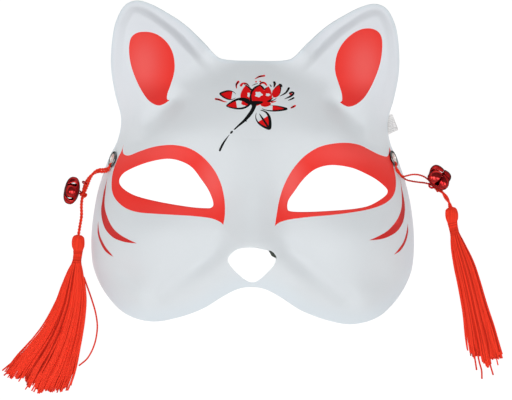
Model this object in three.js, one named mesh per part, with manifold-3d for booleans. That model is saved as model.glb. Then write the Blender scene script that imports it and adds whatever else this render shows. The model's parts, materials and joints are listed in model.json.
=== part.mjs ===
// A half-face fox mask lying open side down: thin moulded shell, two eyelets, and on
// each side a red cord with a jingle bell and a tassel. A flat elastic lies folded inside.
// Millimetres, +Z out of the face, +Y towards the ears, +X to the viewer's right.
import * as THREE from "three";
import { mergeVertices } from "three/addons/utils/BufferGeometryUtils.js";
import Module from "manifold-3d";

const wasm = await Module();
wasm.setup();

// Driving dimensions of the shell
const WALL = 1.5;
const PRISM_TOP = 90;
const RIM_SPARE = 1.5;
const RIM_CUT_TOP = 28;
const RIM_CUT_START = 8;
const RIM_CUT_END = 56;
const RIM_CUT_STEP = 4;
const RIM_CUT_REACH = 110;
const GRID_COLUMNS = 32;
const GRID_ROWS = 33;
const GRID_HALF_LENGTH = 92;
const GRID_OVERHANG = 3;
const EDGE_CROWDING = 0.4;
const OUTLINE_STEPS = 4;
const EYE_STEPS = 2;
const SLOPE_STEP = 0.05;

// Right half of the outline seen from the front, from the forehead's middle to the mouth's
const FOREHEAD_AND_EAR = [
  [0, 54.2], [15.2, 54.2], [20.9, 56.3], [28.2, 63.8], [37.6, 72.8], [47.2, 79.0],
  [55.4, 83.1], [62.6, 84.8], [68.7, 82.6], [72.9, 76.0],
];
const SIDE = [
  [75.4, 66.7], [77.1, 51.0], [75.9, 37.0], [73.7, 24.5], [75.8, 13.0], [80.4, 3.0],
  [86.0, -14.5], [88.9, -32.0], [89.4, -47.0], [87.4, -59.8],
];
const LOBE_AND_MOUTH = [
  [80.4, -71.0], [68.4, -81.2], [54.0, -84.9], [40.2, -82.5], [26.2, -77.0],
  [15.2, -69.8], [7.2, -65.5], [0, -64.2],
];

// The two eye holes are cut by hand and differ a little
const LEFT_EYE = [
  [-45.0, 1.6], [-54.2, 0.1], [-63.3, -2.8], [-69.6, -5.9], [-72.0, -9.8], [-69.7, -13.7],
  [-62.2, -17.7], [-50.0, -20.6], [-34.0, -23.1], [-24.8, -23.8], [-21.2, -23.4],
  [-20.3, -20.9], [-22.6, -14.8], [-26.6, -8.9], [-31.8, -2.6], [-38.1, 0.6],
];
const RIGHT_EYE = [
  [42.8, -0.5], [51.4, -1.7], [58.8, -4.4], [65.1, -7.4], [70.2, -11.0], [71.9, -13.3],
  [70.5, -15.9], [65.4, -19.2], [59.7, -21.7], [51.6, -23.2], [39.4, -24.3], [27.0, -25.0],
  [19.4, -24.8], [17.6, -23.3], [18.0, -19.1], [20.9, -14.6], [25.4, -8.3], [30.7, -3.4],
  [36.6, -1.0],
];
const NOSE_HOLE = [
  [-0.4, -43.1], [7.4, -44.5], [12.1, -47.9], [11.3, -52.2], [6.8, -57.8], [0.4, -62.3],
  [-6.2, -58.6], [-11.2, -53.0], [-12.4, -49.0], [-7.8, -44.3],
];

// Eyelets: place in front view, radii, and heights from the wall's outer face
const EYELETS = { left: [-76.6, 1.8], right: [75.9, 4.4] };
const EYELET_BORE = 3.0;
const EYELET_BARREL = 3.35;
const EYELET_FLANGE = 4.5;
const EYELET_WASHER = 4.4;
const EYELET_FACE = 1.1;
const EYELET_UNDER = 0.45;
const EYELET_BACK = -2.7;
const EYELET_SHEET = 0.6;
const EYELET_LIP = 0.5;
const EYELET_BEVEL = 0.3;
const EYELET_SEAT_GAP = 0.2;
const EYELET_SIDES = 16;
const EYELET_SPACE_SIDES = 20;
const EYELET_REACH = 6;
const FIT_GAP = 0.3;
const SIDE_NAMES = ["left", "right"];

// Cords: middle line from the knot inside the temple to the core of the tassel
const CORD_DIAMETER = 2.0;
const CORD_STEPS = 24;
const TUBE_SIDES = 8;
const CORD_ROUTES = {
  left: [
    [-71.5, -1.6, 6.8], [-74.1, -0.8, 8.2], [-76.7, 0.0, 9.4], [-78.7, 0.4, 10.4],
    [-80.4, -0.2, 11.0], [-80.8, -1.8, 10.8], [-82.6, -3.9, 9.0], [-84.9, -4.6, 7.3],
    [-87.6, -5.8, 6.0], [-90.0, -8.4, 5.0], [-91.8, -11.8, 4.0], [-93.2, -15.6, 2.9],
    [-94.3, -19.4, 1.9], [-94.8, -23.6, 1.3], [-94.7, -29.2, 1.2], [-95.4, -34.6, 1.6],
    [-95.9, -39.4, 2.9], [-96.0, -46.0, 3.4],
    [-96.5, -54.0, 3.2], [-97.6, -63.0, 3.1], [-98.8, -72.0, 3.1], [-100.4, -80.0, 3.1],
  ],
  right: [
    [70.8, 1.1, 6.6], [73.4, 1.9, 8.0], [76.0, 2.8, 9.2], [78.0, 3.1, 10.1],
    [79.8, 2.5, 10.6], [80.2, 0.9, 10.4], [81.4, -2.3, 8.8], [82.8, -4.2, 7.2],
    [84.9, -5.0, 6.0], [87.6, -5.2, 4.9], [91.0, -5.7, 3.9], [94.2, -7.2, 3.2],
    [97.0, -9.6, 2.8], [100.2, -11.6, 2.0], [103.4, -12.8, 1.4], [106.0, -15.8, 1.6],
    [108.1, -20.0, 2.9], [109.2, -26.0, 3.4],
    [110.0, -33.0, 3.2], [112.2, -41.0, 3.1], [115.0, -50.0, 3.1], [117.6, -59.0, 3.1],
  ],
};

// Jingle bells: middle, direction of the loop, place of the loop on the cord, cord direction there
const BELLS = {
  left: {
    at: [-99.4, -15.4, 7.0], axis: [0.95, -0.2, -0.24],
    loop: [-91.8, -11.8, 4.0], along: [-0.15, -0.87, -0.45],
  },
  right: {
    at: [101.7, -5.4, 6.6], axis: [-0.46, -0.56, -0.69],
    loop: [97.0, -9.6, 2.8], along: [0.81, -0.57, -0.16],
  },
};
const BELL_RADIUS = 6.8;
const BELL_FLATNESS = 0.6;
const BELL_WALL = 0.7;
const BELL_SLOT = 1.3;
const BELL_SIDES = 12;
const BELL_BANDS = 6;
const BELL_SLOT_RISE = 0.15;
const LOOP_RADIUS = 1.95;
const LOOP_WIRE = 0.45;
const LOOP_STEM = 0.8;
const LOOP_SIDES = 5;
const LOOP_STEPS = 12;

// Tassels: [x, y, half width, half thickness] stations from the bound head to the cut ends
const TASSELS = {
  left: [
    [-95.9, -40.3, 2.0, 2.0], [-96.0, -41.3, 3.1, 3.1], [-96.0, -44.5, 3.5, 3.4],
    [-96.1, -47.6, 3.0, 3.0], [-96.3, -50.0, 2.5, 2.6], [-96.9, -55.5, 2.9, 2.7],
    [-97.6, -62.0, 5.4, 3.2], [-98.5, -70.0, 7.6, 3.3], [-100.0, -79.5, 9.4, 3.1],
    [-105.0, -97.0, 13.4, 2.6], [-112.0, -111.0, 16.8, 1.9], [-116.5, -119.0, 16.0, 1.3],
  ],
  right: [
    [108.8, -22.2, 2.0, 2.0], [109.0, -23.2, 3.1, 3.1], [109.3, -26.0, 3.5, 3.4],
    [109.6, -29.0, 3.0, 3.0], [110.0, -31.5, 2.5, 2.6], [111.3, -37.0, 2.9, 2.7],
    [113.8, -45.0, 4.8, 3.2], [116.9, -53.5, 6.3, 3.3], [119.8, -63.5, 6.8, 3.2],
    [123.4, -76.5, 7.3, 3.0], [128.0, -93.0, 9.2, 2.4], [130.6, -105.0, 9.8, 1.4],
  ],
};
const TASSEL_SIDES = 10;
const TASSEL_LIFT = 0.1;
const CORE_GAP = 0.35;

// Flat elastic: middle line from the right temple, out under the rim, folded back and across
const STRAP_WIDTH = 9.6;
const STRAP_THICKNESS = 0.9;
const STRAP_STEPS = 36;
const STRAP_BEVEL = 0.3;
const STRAP_LEVEL_RUN = 0.55;
const STRAP_ROUTE = [
  [65.8, 23.4, 17.5], [67.3, 23.2, 11.5], [68.2, 22.8, 6.8], [69.3, 22.5, 3.3], [71.4, 22.8, 1.65],
  [74.6, 23.8, 1.5], [76.7, 24.6, 1.5], [77.5, 24.9, 1.0], [76.7, 24.6, 0.5], [74.6, 23.6, 0.5],
  [68.0, 20.4, 0.55], [60.0, 18.4, 0.55], [52.0, 18.2, 0.55], [43.0, 20.5, 0.55], [34.0, 25.5, 0.55],
  [24.0, 31.5, 0.55], [12.0, 36.0, 0.55], [0.0, 37.5, 0.55], [-12.0, 36.5, 0.55], [-24.0, 33.0, 0.55],
  [-35.0, 28.0, 0.55], [-46.0, 22.5, 0.55], [-56.0, 19.5, 0.55], [-63.4, 20.6, 1.2], [-67.8, 22.2, 4.4],
  [-68.2, 22.8, 9.0], [-66.9, 22.7, 13.5], [-65.6, 22.6, 17.5],
];

const shellWhite = new THREE.MeshStandardMaterial({
  color: 0xdde2e3, roughness: 0.45, metalness: 0,
});
const nickel = new THREE.MeshStandardMaterial({ color: 0xb9bcbc, roughness: 0.25, metalness: 1 });
const redThread = new THREE.MeshStandardMaterial({ color: 0xe32a14, roughness: 0.7, metalness: 0 });
const redMetal = new THREE.MeshStandardMaterial({ color: 0xb01722, roughness: 0.25, metalness: 1 });
const whiteElastic = new THREE.MeshStandardMaterial({ color: 0xe2e0dd, roughness: 0.9, metalness: 0 });

// 0 below a, 1 above b, smooth between
function ease(a, b, t) {
  const k = Math.min(1, Math.max(0, (t - a) / (b - a)));
  return k * k * (3 - 2 * k);
}

function mix(a, b, k) {
  return a + (b - a) * k;
}

// Catmull-Rom curve through a closed ring of points
function smoothRing(ring, steps) {
  const count = ring.length;
  const out = [];
  for (let i = 0; i < count; i++) {
    const [p, q, r, s] = [-1, 0, 1, 2].map((k) => ring[(i + k + count) % count]);
    for (let step = 0; step < steps; step++) {
      const t = step / steps;
      out.push([0, 1].map((k) => 0.5 * (2 * q[k] + (r[k] - p[k]) * t
        + (2 * p[k] - 5 * q[k] + 4 * r[k] - s[k]) * t * t
        + (3 * q[k] - p[k] - 3 * r[k] + s[k]) * t * t * t)));
    }
  }
  return out;
}

// Heights along y through [y, z] stations, smooth, flat beyond the ends
function profile(stations) {
  return (y) => {
    const last = stations.length - 1;
    if (y <= stations[0][0]) return stations[0][1];
    if (y >= stations[last][0]) return stations[last][1];
    const i = stations.findIndex((station) => station[0] > y) - 1;
    const at = (k) => stations[Math.min(last, Math.max(0, k))];
    const slope = (k) => (at(k + 1)[1] - at(k - 1)[1]) / (at(k + 1)[0] - at(k - 1)[0]);
    const span = at(i + 1)[0] - at(i)[0];
    const t = (y - at(i)[0]) / span;
    const h = t * t * (3 - 2 * t);
    return mix(at(i)[1], at(i + 1)[1], h)
      + span * (slope(i) * t * (1 - t) * (1 - t) - slope(i + 1) * t * t * (1 - t));
  };
}

const halfOutline = [...FOREHEAD_AND_EAR, ...SIDE, ...LOBE_AND_MOUTH];
const mirrored = halfOutline.slice(1, -1).reverse().map(([x, y]) => [-x, y]);
const outline = smoothRing([...halfOutline, ...mirrored], OUTLINE_STEPS);
const sideFirst = FOREHEAD_AND_EAR.length * OUTLINE_STEPS;
const sideLast = (FOREHEAD_AND_EAR.length + SIDE.length - 1) * OUTLINE_STEPS;
const sidePoints = outline.slice(sideFirst, sideLast + 1);

// Half the mask's width where its side runs, carried on straight past both ends
const TOP_LEAN = -0.16;
const BOTTOM_LEAN = 0.36;
const SIDE_REACH = 0.5;
function halfWidth(y) {
  const [topX, topY] = sidePoints[0];
  const [bottomX, bottomY] = sidePoints[sidePoints.length - 1];
  if (y >= topY) return topX + TOP_LEAN * (y - topY);
  if (y <= bottomY) return bottomX + BOTTOM_LEAN * (y - bottomY);
  const i = sidePoints.findIndex((point) => point[1] <= y);
  const [upX, upY] = sidePoints[i - 1];
  const [lowX, lowY] = sidePoints[i];
  return mix(lowX, upX, (y - lowY) / (upY - lowY));
}

function distanceToOutline(x, y) {
  let least = Infinity;
  for (let i = 0; i < outline.length; i++) {
    const [ax, ay] = outline[i];
    const [bx, by] = outline[(i + 1) % outline.length];
    const along = ((x - ax) * (bx - ax) + (y - ay) * (by - ay))
      / ((bx - ax) ** 2 + (by - ay) ** 2);
    const t = Math.min(1, Math.max(0, along));
    least = Math.min(least, Math.hypot(x - mix(ax, bx, t), y - mix(ay, by, t)));
  }
  return least;
}

// Base form: an arch across the face that stands on the side rims
const crown = profile([
  [-95, 20], [-85, 29], [-75, 38], [-64, 45.5], [-50, 50], [-35, 52], [-18, 52.4], [0, 53],
  [12, 53], [24, 50.6], [36, 45.6], [46, 40], [55, 34.2], [66, 27], [95, 12],
]);
const ARCH_POWER = 3.7;
const EAR_POWER = 8;
const EAR_RIM = 35;
const LOBE_RIM = 10;
function rimHeight(y) {
  return EAR_RIM * ease(8, 72, y) + LOBE_RIM * ease(-57, -92, y);
}

// Share of the ear's flat plate, from the diagonal line along its base
const EAR_BASE = [37, 36];
const EAR_NORMAL = [0.637, 0.771];
function earShare(x, y) {
  const above = (Math.abs(x) - EAR_BASE[0]) * EAR_NORMAL[0] + (y - EAR_BASE[1]) * EAR_NORMAL[1];
  return ease(-7, 11, above) * ease(0, 26, y);
}
function earPlate(x, y) {
  return 41.5 - 0.06 * (y - 35) - 0.03 * (Math.abs(x) - 50);
}

// Swellings and hollows, mirrored: place, radii, turn in radians, height
const HUMPS = [
  { at: [44, 14], radii: [24, 9], turn: -0.17, height: 2.5 },
  { at: [45, -10], radii: [28, 13], turn: -0.1, height: -2 },
  { at: [17, -20], radii: [7, 11], turn: 0.2, height: -1.5 },
  { at: [50, -38], radii: [24, 14], turn: 0, height: 4.5 },
  { at: [21, -61], radii: [11, 9], turn: -0.5, height: 3.5 },
  { at: [67, -59], radii: [11, 7], turn: 0.5, height: -3.6 },
  { at: [60, -73], radii: [13, 9], turn: 0, height: 2 },
];
// Valleys along a line, mirrored: both ends, half width, depth
const VALLEYS = [
  { from: [15, -41], to: [54, -74], width: 6, depth: 3.2 },
  { from: [38, 35], to: [58, 19], width: 5, depth: 3.2 },
];
const NOSE_HEIGHT = profile([
  [-68, 0], [-62, 2.2], [-56, 5], [-49, 8.2], [-43, 9.6], [-36, 7.6], [-28, 5], [-15, 3],
  [-3, 1.6], [12, 0],
]);
const NOSE_WIDTH = profile([[-62, 14], [-46, 15], [-30, 11], [-10, 9], [10, 9]]);

function hump(x, y, { at, radii, turn, height }) {
  const [dx, dy] = [x - at[0], y - at[1]];
  const u = (dx * Math.cos(turn) + dy * Math.sin(turn)) / radii[0];
  const v = (dy * Math.cos(turn) - dx * Math.sin(turn)) / radii[1];
  return height * Math.exp(-u * u - v * v);
}

function valley(x, y, { from, to, width, depth }) {
  const [lx, ly] = [to[0] - from[0], to[1] - from[1]];
  const length = Math.hypot(lx, ly);
  const along = ((x - from[0]) * lx + (y - from[1]) * ly) / length;
  const across = ((x - from[0]) * ly - (y - from[1]) * lx) / length;
  const ends = ease(-width, width, along) * (1 - ease(length - width, length + width, along));
  return -depth * ends * Math.exp(-((across / width) ** 2));
}

// The ear's outer strip lies a step lower than its plate
const OUTER_FLANGE = 2.2;
const INNER_FLANGE = 4.6;
const FLANGE_STEP_WIDTH = 4.6;
const OUTER_STEP = 1.8;
const INNER_STEP = 4.6;
const EDGE_POWER = 10;
function flangeDrop(x, y) {
  const inner = 1 - ease(38, 66, Math.abs(x));
  const start = mix(OUTER_FLANGE, INNER_FLANGE, inner);
  const step = mix(OUTER_STEP, INNER_STEP, inner) * ease(2, 30, y) * ease(20, 38, Math.abs(x));
  return step * (1 - ease(start, start + FLANGE_STEP_WIDTH, distanceToOutline(x, y)));
}

// Height of the outer face over the table at a place in front view
function faceHeight(x, y) {
  const share = earShare(x, y);
  const rim = rimHeight(y);
  const top = mix(crown(y), earPlate(x, y), share);
  const across = Math.abs(x) / halfWidth(y);
  const arch = rim + (top - rim) * (1 - across ** mix(ARCH_POWER, EAR_POWER, share));
  let relief = NOSE_HEIGHT(y) * Math.exp(-((x / NOSE_WIDTH(y)) ** 2));
  for (const side of [x, -x]) {
    for (const item of HUMPS) relief += hump(side, y, item);
    for (const item of VALLEYS) relief += valley(side, y, item);
  }
  return arch + relief * Math.max(0, 1 - across ** EDGE_POWER) - flangeDrop(x, y);
}

function faceNormal(x, y) {
  const d = SLOPE_STEP;
  const gx = (faceHeight(x + d, y) - faceHeight(x - d, y)) / (2 * d);
  const gy = (faceHeight(x, y + d) - faceHeight(x, y - d)) / (2 * d);
  return new THREE.Vector3(-gx, -gy, 1).normalize();
}

function solidFrom(positions, triangles) {
  return new wasm.Manifold(new wasm.Mesh({
    numProp: 3,
    vertProperties: new Float32Array(positions),
    triVerts: new Uint32Array(triangles),
  }));
}

function solidOf(geometry) {
  const bare = geometry.clone();
  bare.deleteAttribute("normal");
  bare.deleteAttribute("uv");
  const merged = mergeVertices(bare, 1e-4);
  return solidFrom(merged.attributes.position.array, merged.index.array);
}

function geometryOf(solid) {
  const mesh = solid.getMesh();
  const geometry = new THREE.BufferGeometry();
  const positions = new Float32Array(mesh.vertProperties);
  geometry.setAttribute("position", new THREE.BufferAttribute(positions, 3));
  geometry.setIndex(new THREE.BufferAttribute(new Uint32Array(mesh.triVerts), 1));
  return geometry;
}

// Upright prism over a ring of [x, y] points
function prism(ring, low, high) {
  const shape = new THREE.Shape(ring.map(([x, y]) => new THREE.Vector2(x, y)));
  const geometry = new THREE.ExtrudeGeometry(shape, { depth: high - low, bevelEnabled: false });
  geometry.translate(0, 0, low);
  return solidOf(geometry);
}

// Curved sheet one wall thick, larger than the mask all round
function shellSheet() {
  const outer = [];
  const inner = [];
  for (let row = 0; row <= GRID_ROWS; row++) {
    const y = mix(-GRID_HALF_LENGTH, GRID_HALF_LENGTH, row / GRID_ROWS);
    for (let column = 0; column <= GRID_COLUMNS; column++) {
      const u = mix(-1, 1, column / GRID_COLUMNS);
      const x = (halfWidth(y) + GRID_OVERHANG) * (u * (1 + EDGE_CROWDING) - EDGE_CROWDING * u ** 3);
      const point = new THREE.Vector3(x, y, faceHeight(x, y));
      outer.push(...point.toArray());
      inner.push(...point.addScaledVector(faceNormal(x, y), -WALL).toArray());
    }
  }
  const wide = GRID_COLUMNS + 1;
  const below = wide * (GRID_ROWS + 1);
  const triangles = [];
  const quad = (a, b, c, d) => triangles.push(a, b, c, a, c, d);
  for (let row = 0; row < GRID_ROWS; row++) {
    for (let column = 0; column < GRID_COLUMNS; column++) {
      const a = row * wide + column;
      quad(a, a + 1, a + 1 + wide, a + wide);
      quad(a + below, a + wide + below, a + 1 + wide + below, a + 1 + below);
    }
  }
  const rim = [];
  for (let column = 0; column < GRID_COLUMNS; column++) rim.push(column);
  for (let row = 0; row < GRID_ROWS; row++) rim.push(row * wide + GRID_COLUMNS);
  for (let column = GRID_COLUMNS; column > 0; column--) rim.push(GRID_ROWS * wide + column);
  for (let row = GRID_ROWS; row > 0; row--) rim.push(row * wide);
  rim.forEach((a, i) => {
    const b = rim[(i + 1) % rim.length];
    quad(a, a + below, b + below, b);
  });
  return solidFrom([...outer, ...inner], triangles);
}

// Outline for the cut, let out along the steep sides, where the level rim cut ends the wall
function cuttingRing() {
  return outline.map(([x, y]) => {
    const steep = (1 - ease(RIM_CUT_TOP - 2, RIM_CUT_TOP, rimHeight(y))) * ease(-66, -58, y);
    const beside = Math.abs(Math.abs(x) - halfWidth(y)) < SIDE_REACH ? 1 : 0;
    return [x + Math.sign(x) * RIM_SPARE * steep * beside, y];
  });
}

// Everything under the level rim of the steep sides, as seen from the side
function rimCut() {
  const shape = new THREE.Shape();
  shape.moveTo(PRISM_TOP, -1);
  shape.lineTo(RIM_CUT_START, -1);
  for (let y = RIM_CUT_START; y <= RIM_CUT_END; y += RIM_CUT_STEP) {
    shape.lineTo(y, Math.min(RIM_CUT_TOP, rimHeight(y) - OUTER_STEP * ease(14, 40, y)));
  }
  shape.lineTo(PRISM_TOP, RIM_CUT_TOP);
  const depth = 2 * RIM_CUT_REACH;
  const geometry = new THREE.ExtrudeGeometry(shape, { depth, bevelEnabled: false });
  geometry.translate(0, 0, -RIM_CUT_REACH).rotateX(Math.PI / 2).rotateZ(Math.PI / 2);
  return solidOf(geometry);
}

function eyeletFrame([x, y]) {
  const normal = faceNormal(x, y);
  const turn = new THREE.Quaternion().setFromUnitVectors(new THREE.Vector3(0, 0, 1), normal);
  return { place: new THREE.Vector3(x, y, faceHeight(x, y)), normal, turn };
}

// Ring turned round +Z from [radius, height] points
function turned(points, sides) {
  const geometry = new THREE.LatheGeometry(points.map(([r, h]) => new THREE.Vector2(r, h)), sides);
  return geometry.rotateX(Math.PI / 2);
}

function eyeletSpace(frame) {
  const washer = EYELET_WASHER + FIT_GAP;
  const barrel = EYELET_BARREL + FIT_GAP;
  const flange = EYELET_FLANGE + FIT_GAP;
  const back = -WALL - EYELET_SEAT_GAP;
  const front = EYELET_UNDER - FIT_GAP;
  const space = turned([
    [0, -EYELET_REACH], [washer, -EYELET_REACH], [washer, back], [barrel, back],
    [barrel, front], [flange, front], [flange, EYELET_REACH], [0, EYELET_REACH],
  ], EYELET_SPACE_SIDES);
  space.applyQuaternion(frame.turn).translate(...frame.place.toArray());
  return solidOf(space);
}

function eyeletGeometry() {
  const washerFront = EYELET_BACK + EYELET_SHEET;
  return turned([
    [EYELET_BORE, EYELET_BACK], [EYELET_WASHER, EYELET_BACK], [EYELET_WASHER, washerFront],
    [EYELET_BARREL, washerFront], [EYELET_BARREL, EYELET_UNDER], [EYELET_FLANGE, EYELET_UNDER],
    [EYELET_FLANGE - EYELET_BEVEL, EYELET_FACE], [EYELET_BORE + EYELET_LIP, EYELET_FACE],
    [EYELET_BORE, EYELET_FACE - EYELET_LIP], [EYELET_BORE, EYELET_BACK],
  ], EYELET_SIDES);
}

function vector([x, y, z]) {
  return new THREE.Vector3(x, y, z);
}

function curveOf(route) {
  return new THREE.CatmullRomCurve3(route.map(vector));
}

// Round tube along a curve, closed at both ends
function tube(curve, radius, steps) {
  const section = new THREE.Shape();
  section.absarc(0, 0, radius, 0, Math.PI * 2);
  return new THREE.ExtrudeGeometry(section, {
    steps, extrudePath: curve, curveSegments: TUBE_SIDES / 2, bevelEnabled: false,
  });
}

// Closed skin over rings of equal point counts, with a flat cap at each end
function skin(rings) {
  const sides = rings[0].length;
  const positions = rings.flat().flatMap((point) => point.toArray());
  const triangles = [];
  for (let ring = 0; ring + 1 < rings.length; ring++) {
    for (let side = 0; side < sides; side++) {
      const [a, b] = [ring * sides + side, ring * sides + ((side + 1) % sides)];
      triangles.push(a, b, b + sides, a, b + sides, a + sides);
    }
  }
  const last = (rings.length - 1) * sides;
  for (let side = 1; side + 1 < sides; side++) {
    triangles.push(0, side + 1, side, last, last + side, last + side + 1);
  }
  return solidFrom(positions, triangles);
}

// Thread bundle lying on the table: ellipses square to its middle line
function bundle(stations) {
  const rings = stations.map(([x, y, wide, thick], i) => {
    const before = stations[Math.max(0, i - 1)];
    const after = stations[Math.min(stations.length - 1, i + 1)];
    const run = new THREE.Vector3(after[0] - before[0], after[1] - before[1], 0).normalize();
    const across = new THREE.Vector3(-run.y, run.x, 0);
    return Array.from({ length: TASSEL_SIDES }, (_, side) => {
      const angle = (side / TASSEL_SIDES) * Math.PI * 2;
      return new THREE.Vector3(x, y, thick + TASSEL_LIFT)
        .addScaledVector(across, wide * Math.cos(angle))
        .add(new THREE.Vector3(0, 0, thick * Math.sin(angle)));
    });
  });
  return skin(rings);
}

// Flat band whose width stays level; where it runs up or folds, the width keeps its direction
function band(route, width, thickness, steps) {
  const curve = curveOf(route);
  const bevel = STRAP_BEVEL * thickness;
  let across = new THREE.Vector3(0, 1, 0);
  const rings = [];
  for (let step = 0; step <= steps; step++) {
    const run = curve.getTangentAt(step / steps);
    const square = new THREE.Vector3(-run.y, run.x, 0);
    if (square.length() > STRAP_LEVEL_RUN) {
      square.normalize();
      across = square.dot(across) < 0 ? square.negate() : square;
    }
    const face = new THREE.Vector3().crossVectors(run, across).normalize();
    const flat = new THREE.Vector3().crossVectors(face, run).normalize();
    const middle = curve.getPointAt(step / steps);
    const [w, t] = [width / 2, thickness / 2];
    rings.push([
      [w, t - bevel], [w - bevel, t], [bevel - w, t], [-w, t - bevel],
      [-w, bevel - t], [bevel - w, -t], [w - bevel, -t], [w, bevel - t],
    ].map(([a, b]) => middle.clone().addScaledVector(flat, a).addScaledVector(face, b)));
  }
  return skin(rings);
}

// Slotted hollow bell with a wire loop that the cord runs through
function bell({ at, axis, loop, along }, cordSpace) {
  const up = new THREE.Vector3(0, 0, 1);
  const turn = new THREE.Quaternion().setFromUnitVectors(up, vector(axis).normalize());
  const ball = (radius) => {
    const geometry = new THREE.SphereGeometry(radius, BELL_SIDES, BELL_BANDS);
    geometry.rotateX(Math.PI / 2);
    return solidOf(geometry.scale(1, 1, BELL_FLATNESS));
  };
  let body = ball(BELL_RADIUS).subtract(ball(BELL_RADIUS - BELL_WALL));
  for (const quarter of [0, 1]) {
    const slot = new THREE.BoxGeometry(3 * BELL_RADIUS, BELL_SLOT, 2 * BELL_RADIUS);
    slot.rotateZ((quarter * Math.PI) / 2).translate(0, 0, -BELL_RADIUS * (1 + BELL_SLOT_RISE));
    body = body.subtract(solidOf(slot));
  }
  const placed = geometryOf(body).applyQuaternion(turn).translate(...at);
  const ring = new THREE.TorusGeometry(LOOP_RADIUS, LOOP_WIRE, LOOP_SIDES, LOOP_STEPS);
  const ringTurn = new THREE.Quaternion().setFromUnitVectors(up, vector(along).normalize());
  ring.applyQuaternion(ringTurn).translate(...loop);
  const reach = vector(loop).sub(vector(at));
  const far = reach.length();
  const root = vector(at).addScaledVector(reach, (BELL_RADIUS * BELL_FLATNESS - BELL_WALL / 2) / far);
  const tip = vector(at).addScaledVector(reach, (far - LOOP_RADIUS + LOOP_WIRE) / far);
  const stem = tube(new THREE.LineCurve3(root, tip), LOOP_STEM, 1);
  return solidOf(placed).add(solidOf(ring)).add(solidOf(stem)).subtract(cordSpace);
}

const frames = { left: eyeletFrame(EYELETS.left), right: eyeletFrame(EYELETS.right) };
let shell = shellSheet().intersect(prism(cuttingRing(), 0, PRISM_TOP)).subtract(rimCut());
for (const ring of [LEFT_EYE, RIGHT_EYE, NOSE_HOLE]) {
  shell = shell.subtract(prism(smoothRing(ring, EYE_STEPS), -1, PRISM_TOP));
}
for (const side of SIDE_NAMES) shell = shell.subtract(eyeletSpace(frames[side]));

const mask = new THREE.Group();
function addPiece(name, geometry, material) {
  const mesh = new THREE.Mesh(geometry, material);
  mesh.name = name;
  mask.add(mesh);
  return mesh;
}

addPiece("mask_shell", geometryOf(shell), shellWhite);
for (const side of SIDE_NAMES) {
  const eyelet = addPiece(`eyelet_${side}`, eyeletGeometry(), nickel);
  eyelet.position.copy(frames[side].place);
  eyelet.quaternion.copy(frames[side].turn);
  const route = curveOf(CORD_ROUTES[side]);
  const cordSpace = solidOf(tube(route, CORD_DIAMETER / 2 + CORE_GAP, CORD_STEPS));
  addPiece(`cord_${side}`, tube(route, CORD_DIAMETER / 2, CORD_STEPS), redThread);
  addPiece(`bell_${side}`, geometryOf(bell(BELLS[side], cordSpace)), redMetal);
  addPiece(`tassel_${side}`, geometryOf(bundle(TASSELS[side]).subtract(cordSpace)), redThread);
}
const elastic = band(STRAP_ROUTE, STRAP_WIDTH, STRAP_THICKNESS, STRAP_STEPS);
addPiece("elastic_strap", geometryOf(elastic), whiteElastic);

export default mask;
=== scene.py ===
"""Fox mask lying open side down on a pale table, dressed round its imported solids.

The painted shell, the eyelets and, on each side, a red cord with a jingle bell and a tassel,
with a flat elastic folded inside. Shapes are worked out in millimetres, with +Z out of the
face, +Y towards the ears and +X to the viewer's right, and go into the meshes in metres.
"""

import json
import logging
import math
from dataclasses import dataclass, field
from enum import Enum

import bmesh
import bpy
import numpy as np
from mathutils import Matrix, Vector
from mathutils.geometry import delaunay_2d_cdt

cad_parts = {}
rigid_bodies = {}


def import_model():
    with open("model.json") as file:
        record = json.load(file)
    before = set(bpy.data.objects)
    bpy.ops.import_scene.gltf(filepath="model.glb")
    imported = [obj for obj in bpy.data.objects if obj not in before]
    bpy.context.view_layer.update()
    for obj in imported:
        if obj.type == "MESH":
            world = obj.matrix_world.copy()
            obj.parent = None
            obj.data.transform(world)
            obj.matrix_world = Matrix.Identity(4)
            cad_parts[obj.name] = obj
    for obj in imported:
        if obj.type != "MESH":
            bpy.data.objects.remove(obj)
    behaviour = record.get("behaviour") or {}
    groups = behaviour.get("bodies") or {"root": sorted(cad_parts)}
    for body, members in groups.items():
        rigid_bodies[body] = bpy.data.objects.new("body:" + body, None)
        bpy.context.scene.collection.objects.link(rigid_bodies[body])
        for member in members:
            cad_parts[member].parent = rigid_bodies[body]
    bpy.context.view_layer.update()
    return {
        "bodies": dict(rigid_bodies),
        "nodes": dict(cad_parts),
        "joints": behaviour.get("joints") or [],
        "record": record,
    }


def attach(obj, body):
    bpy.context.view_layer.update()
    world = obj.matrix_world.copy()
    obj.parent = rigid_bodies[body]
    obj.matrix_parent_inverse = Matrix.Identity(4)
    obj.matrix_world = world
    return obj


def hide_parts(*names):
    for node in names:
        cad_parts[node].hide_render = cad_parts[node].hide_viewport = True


LOG = logging.getLogger("fox_mask")
MM = 0.001
UP = np.array([0.0, 0.0, 1.0])
Array = np.ndarray
Form = tuple[Array, list[Array]]
Colour = tuple[float, float, float, float]
Pair = tuple[float, float]
Triple = tuple[float, float, float]
Points = tuple[tuple[float, ...], ...]
Stroke = tuple[Points, tuple[float, ...]]
Piece = bpy.types.Object
Material = bpy.types.Material
Tree = bpy.types.NodeTree
Node = bpy.types.Node
Socket = bpy.types.NodeSocket


class Side(Enum):
    """A side of the mask as the viewer sees it."""

    LEFT = "left"
    RIGHT = "right"


def ease(low: float, high: float, value: Array) -> Array:
    """Smooth step: 0 up to low, 1 from high, and 3k^2 - 2k^3 between."""
    k = np.clip((value - low) / (high - low), 0.0, 1.0)
    return k * k * (3.0 - 2.0 * k)


def mix(a: Array, b: Array, k: Array) -> Array:
    """Straight blend from a at k = 0 to b at k = 1."""
    return a + (b - a) * k


def unit(v: Array) -> Array:
    """Each vector divided by its own length."""
    return v / np.maximum(np.linalg.norm(v, axis=-1, keepdims=True), 1e-12)


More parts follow.
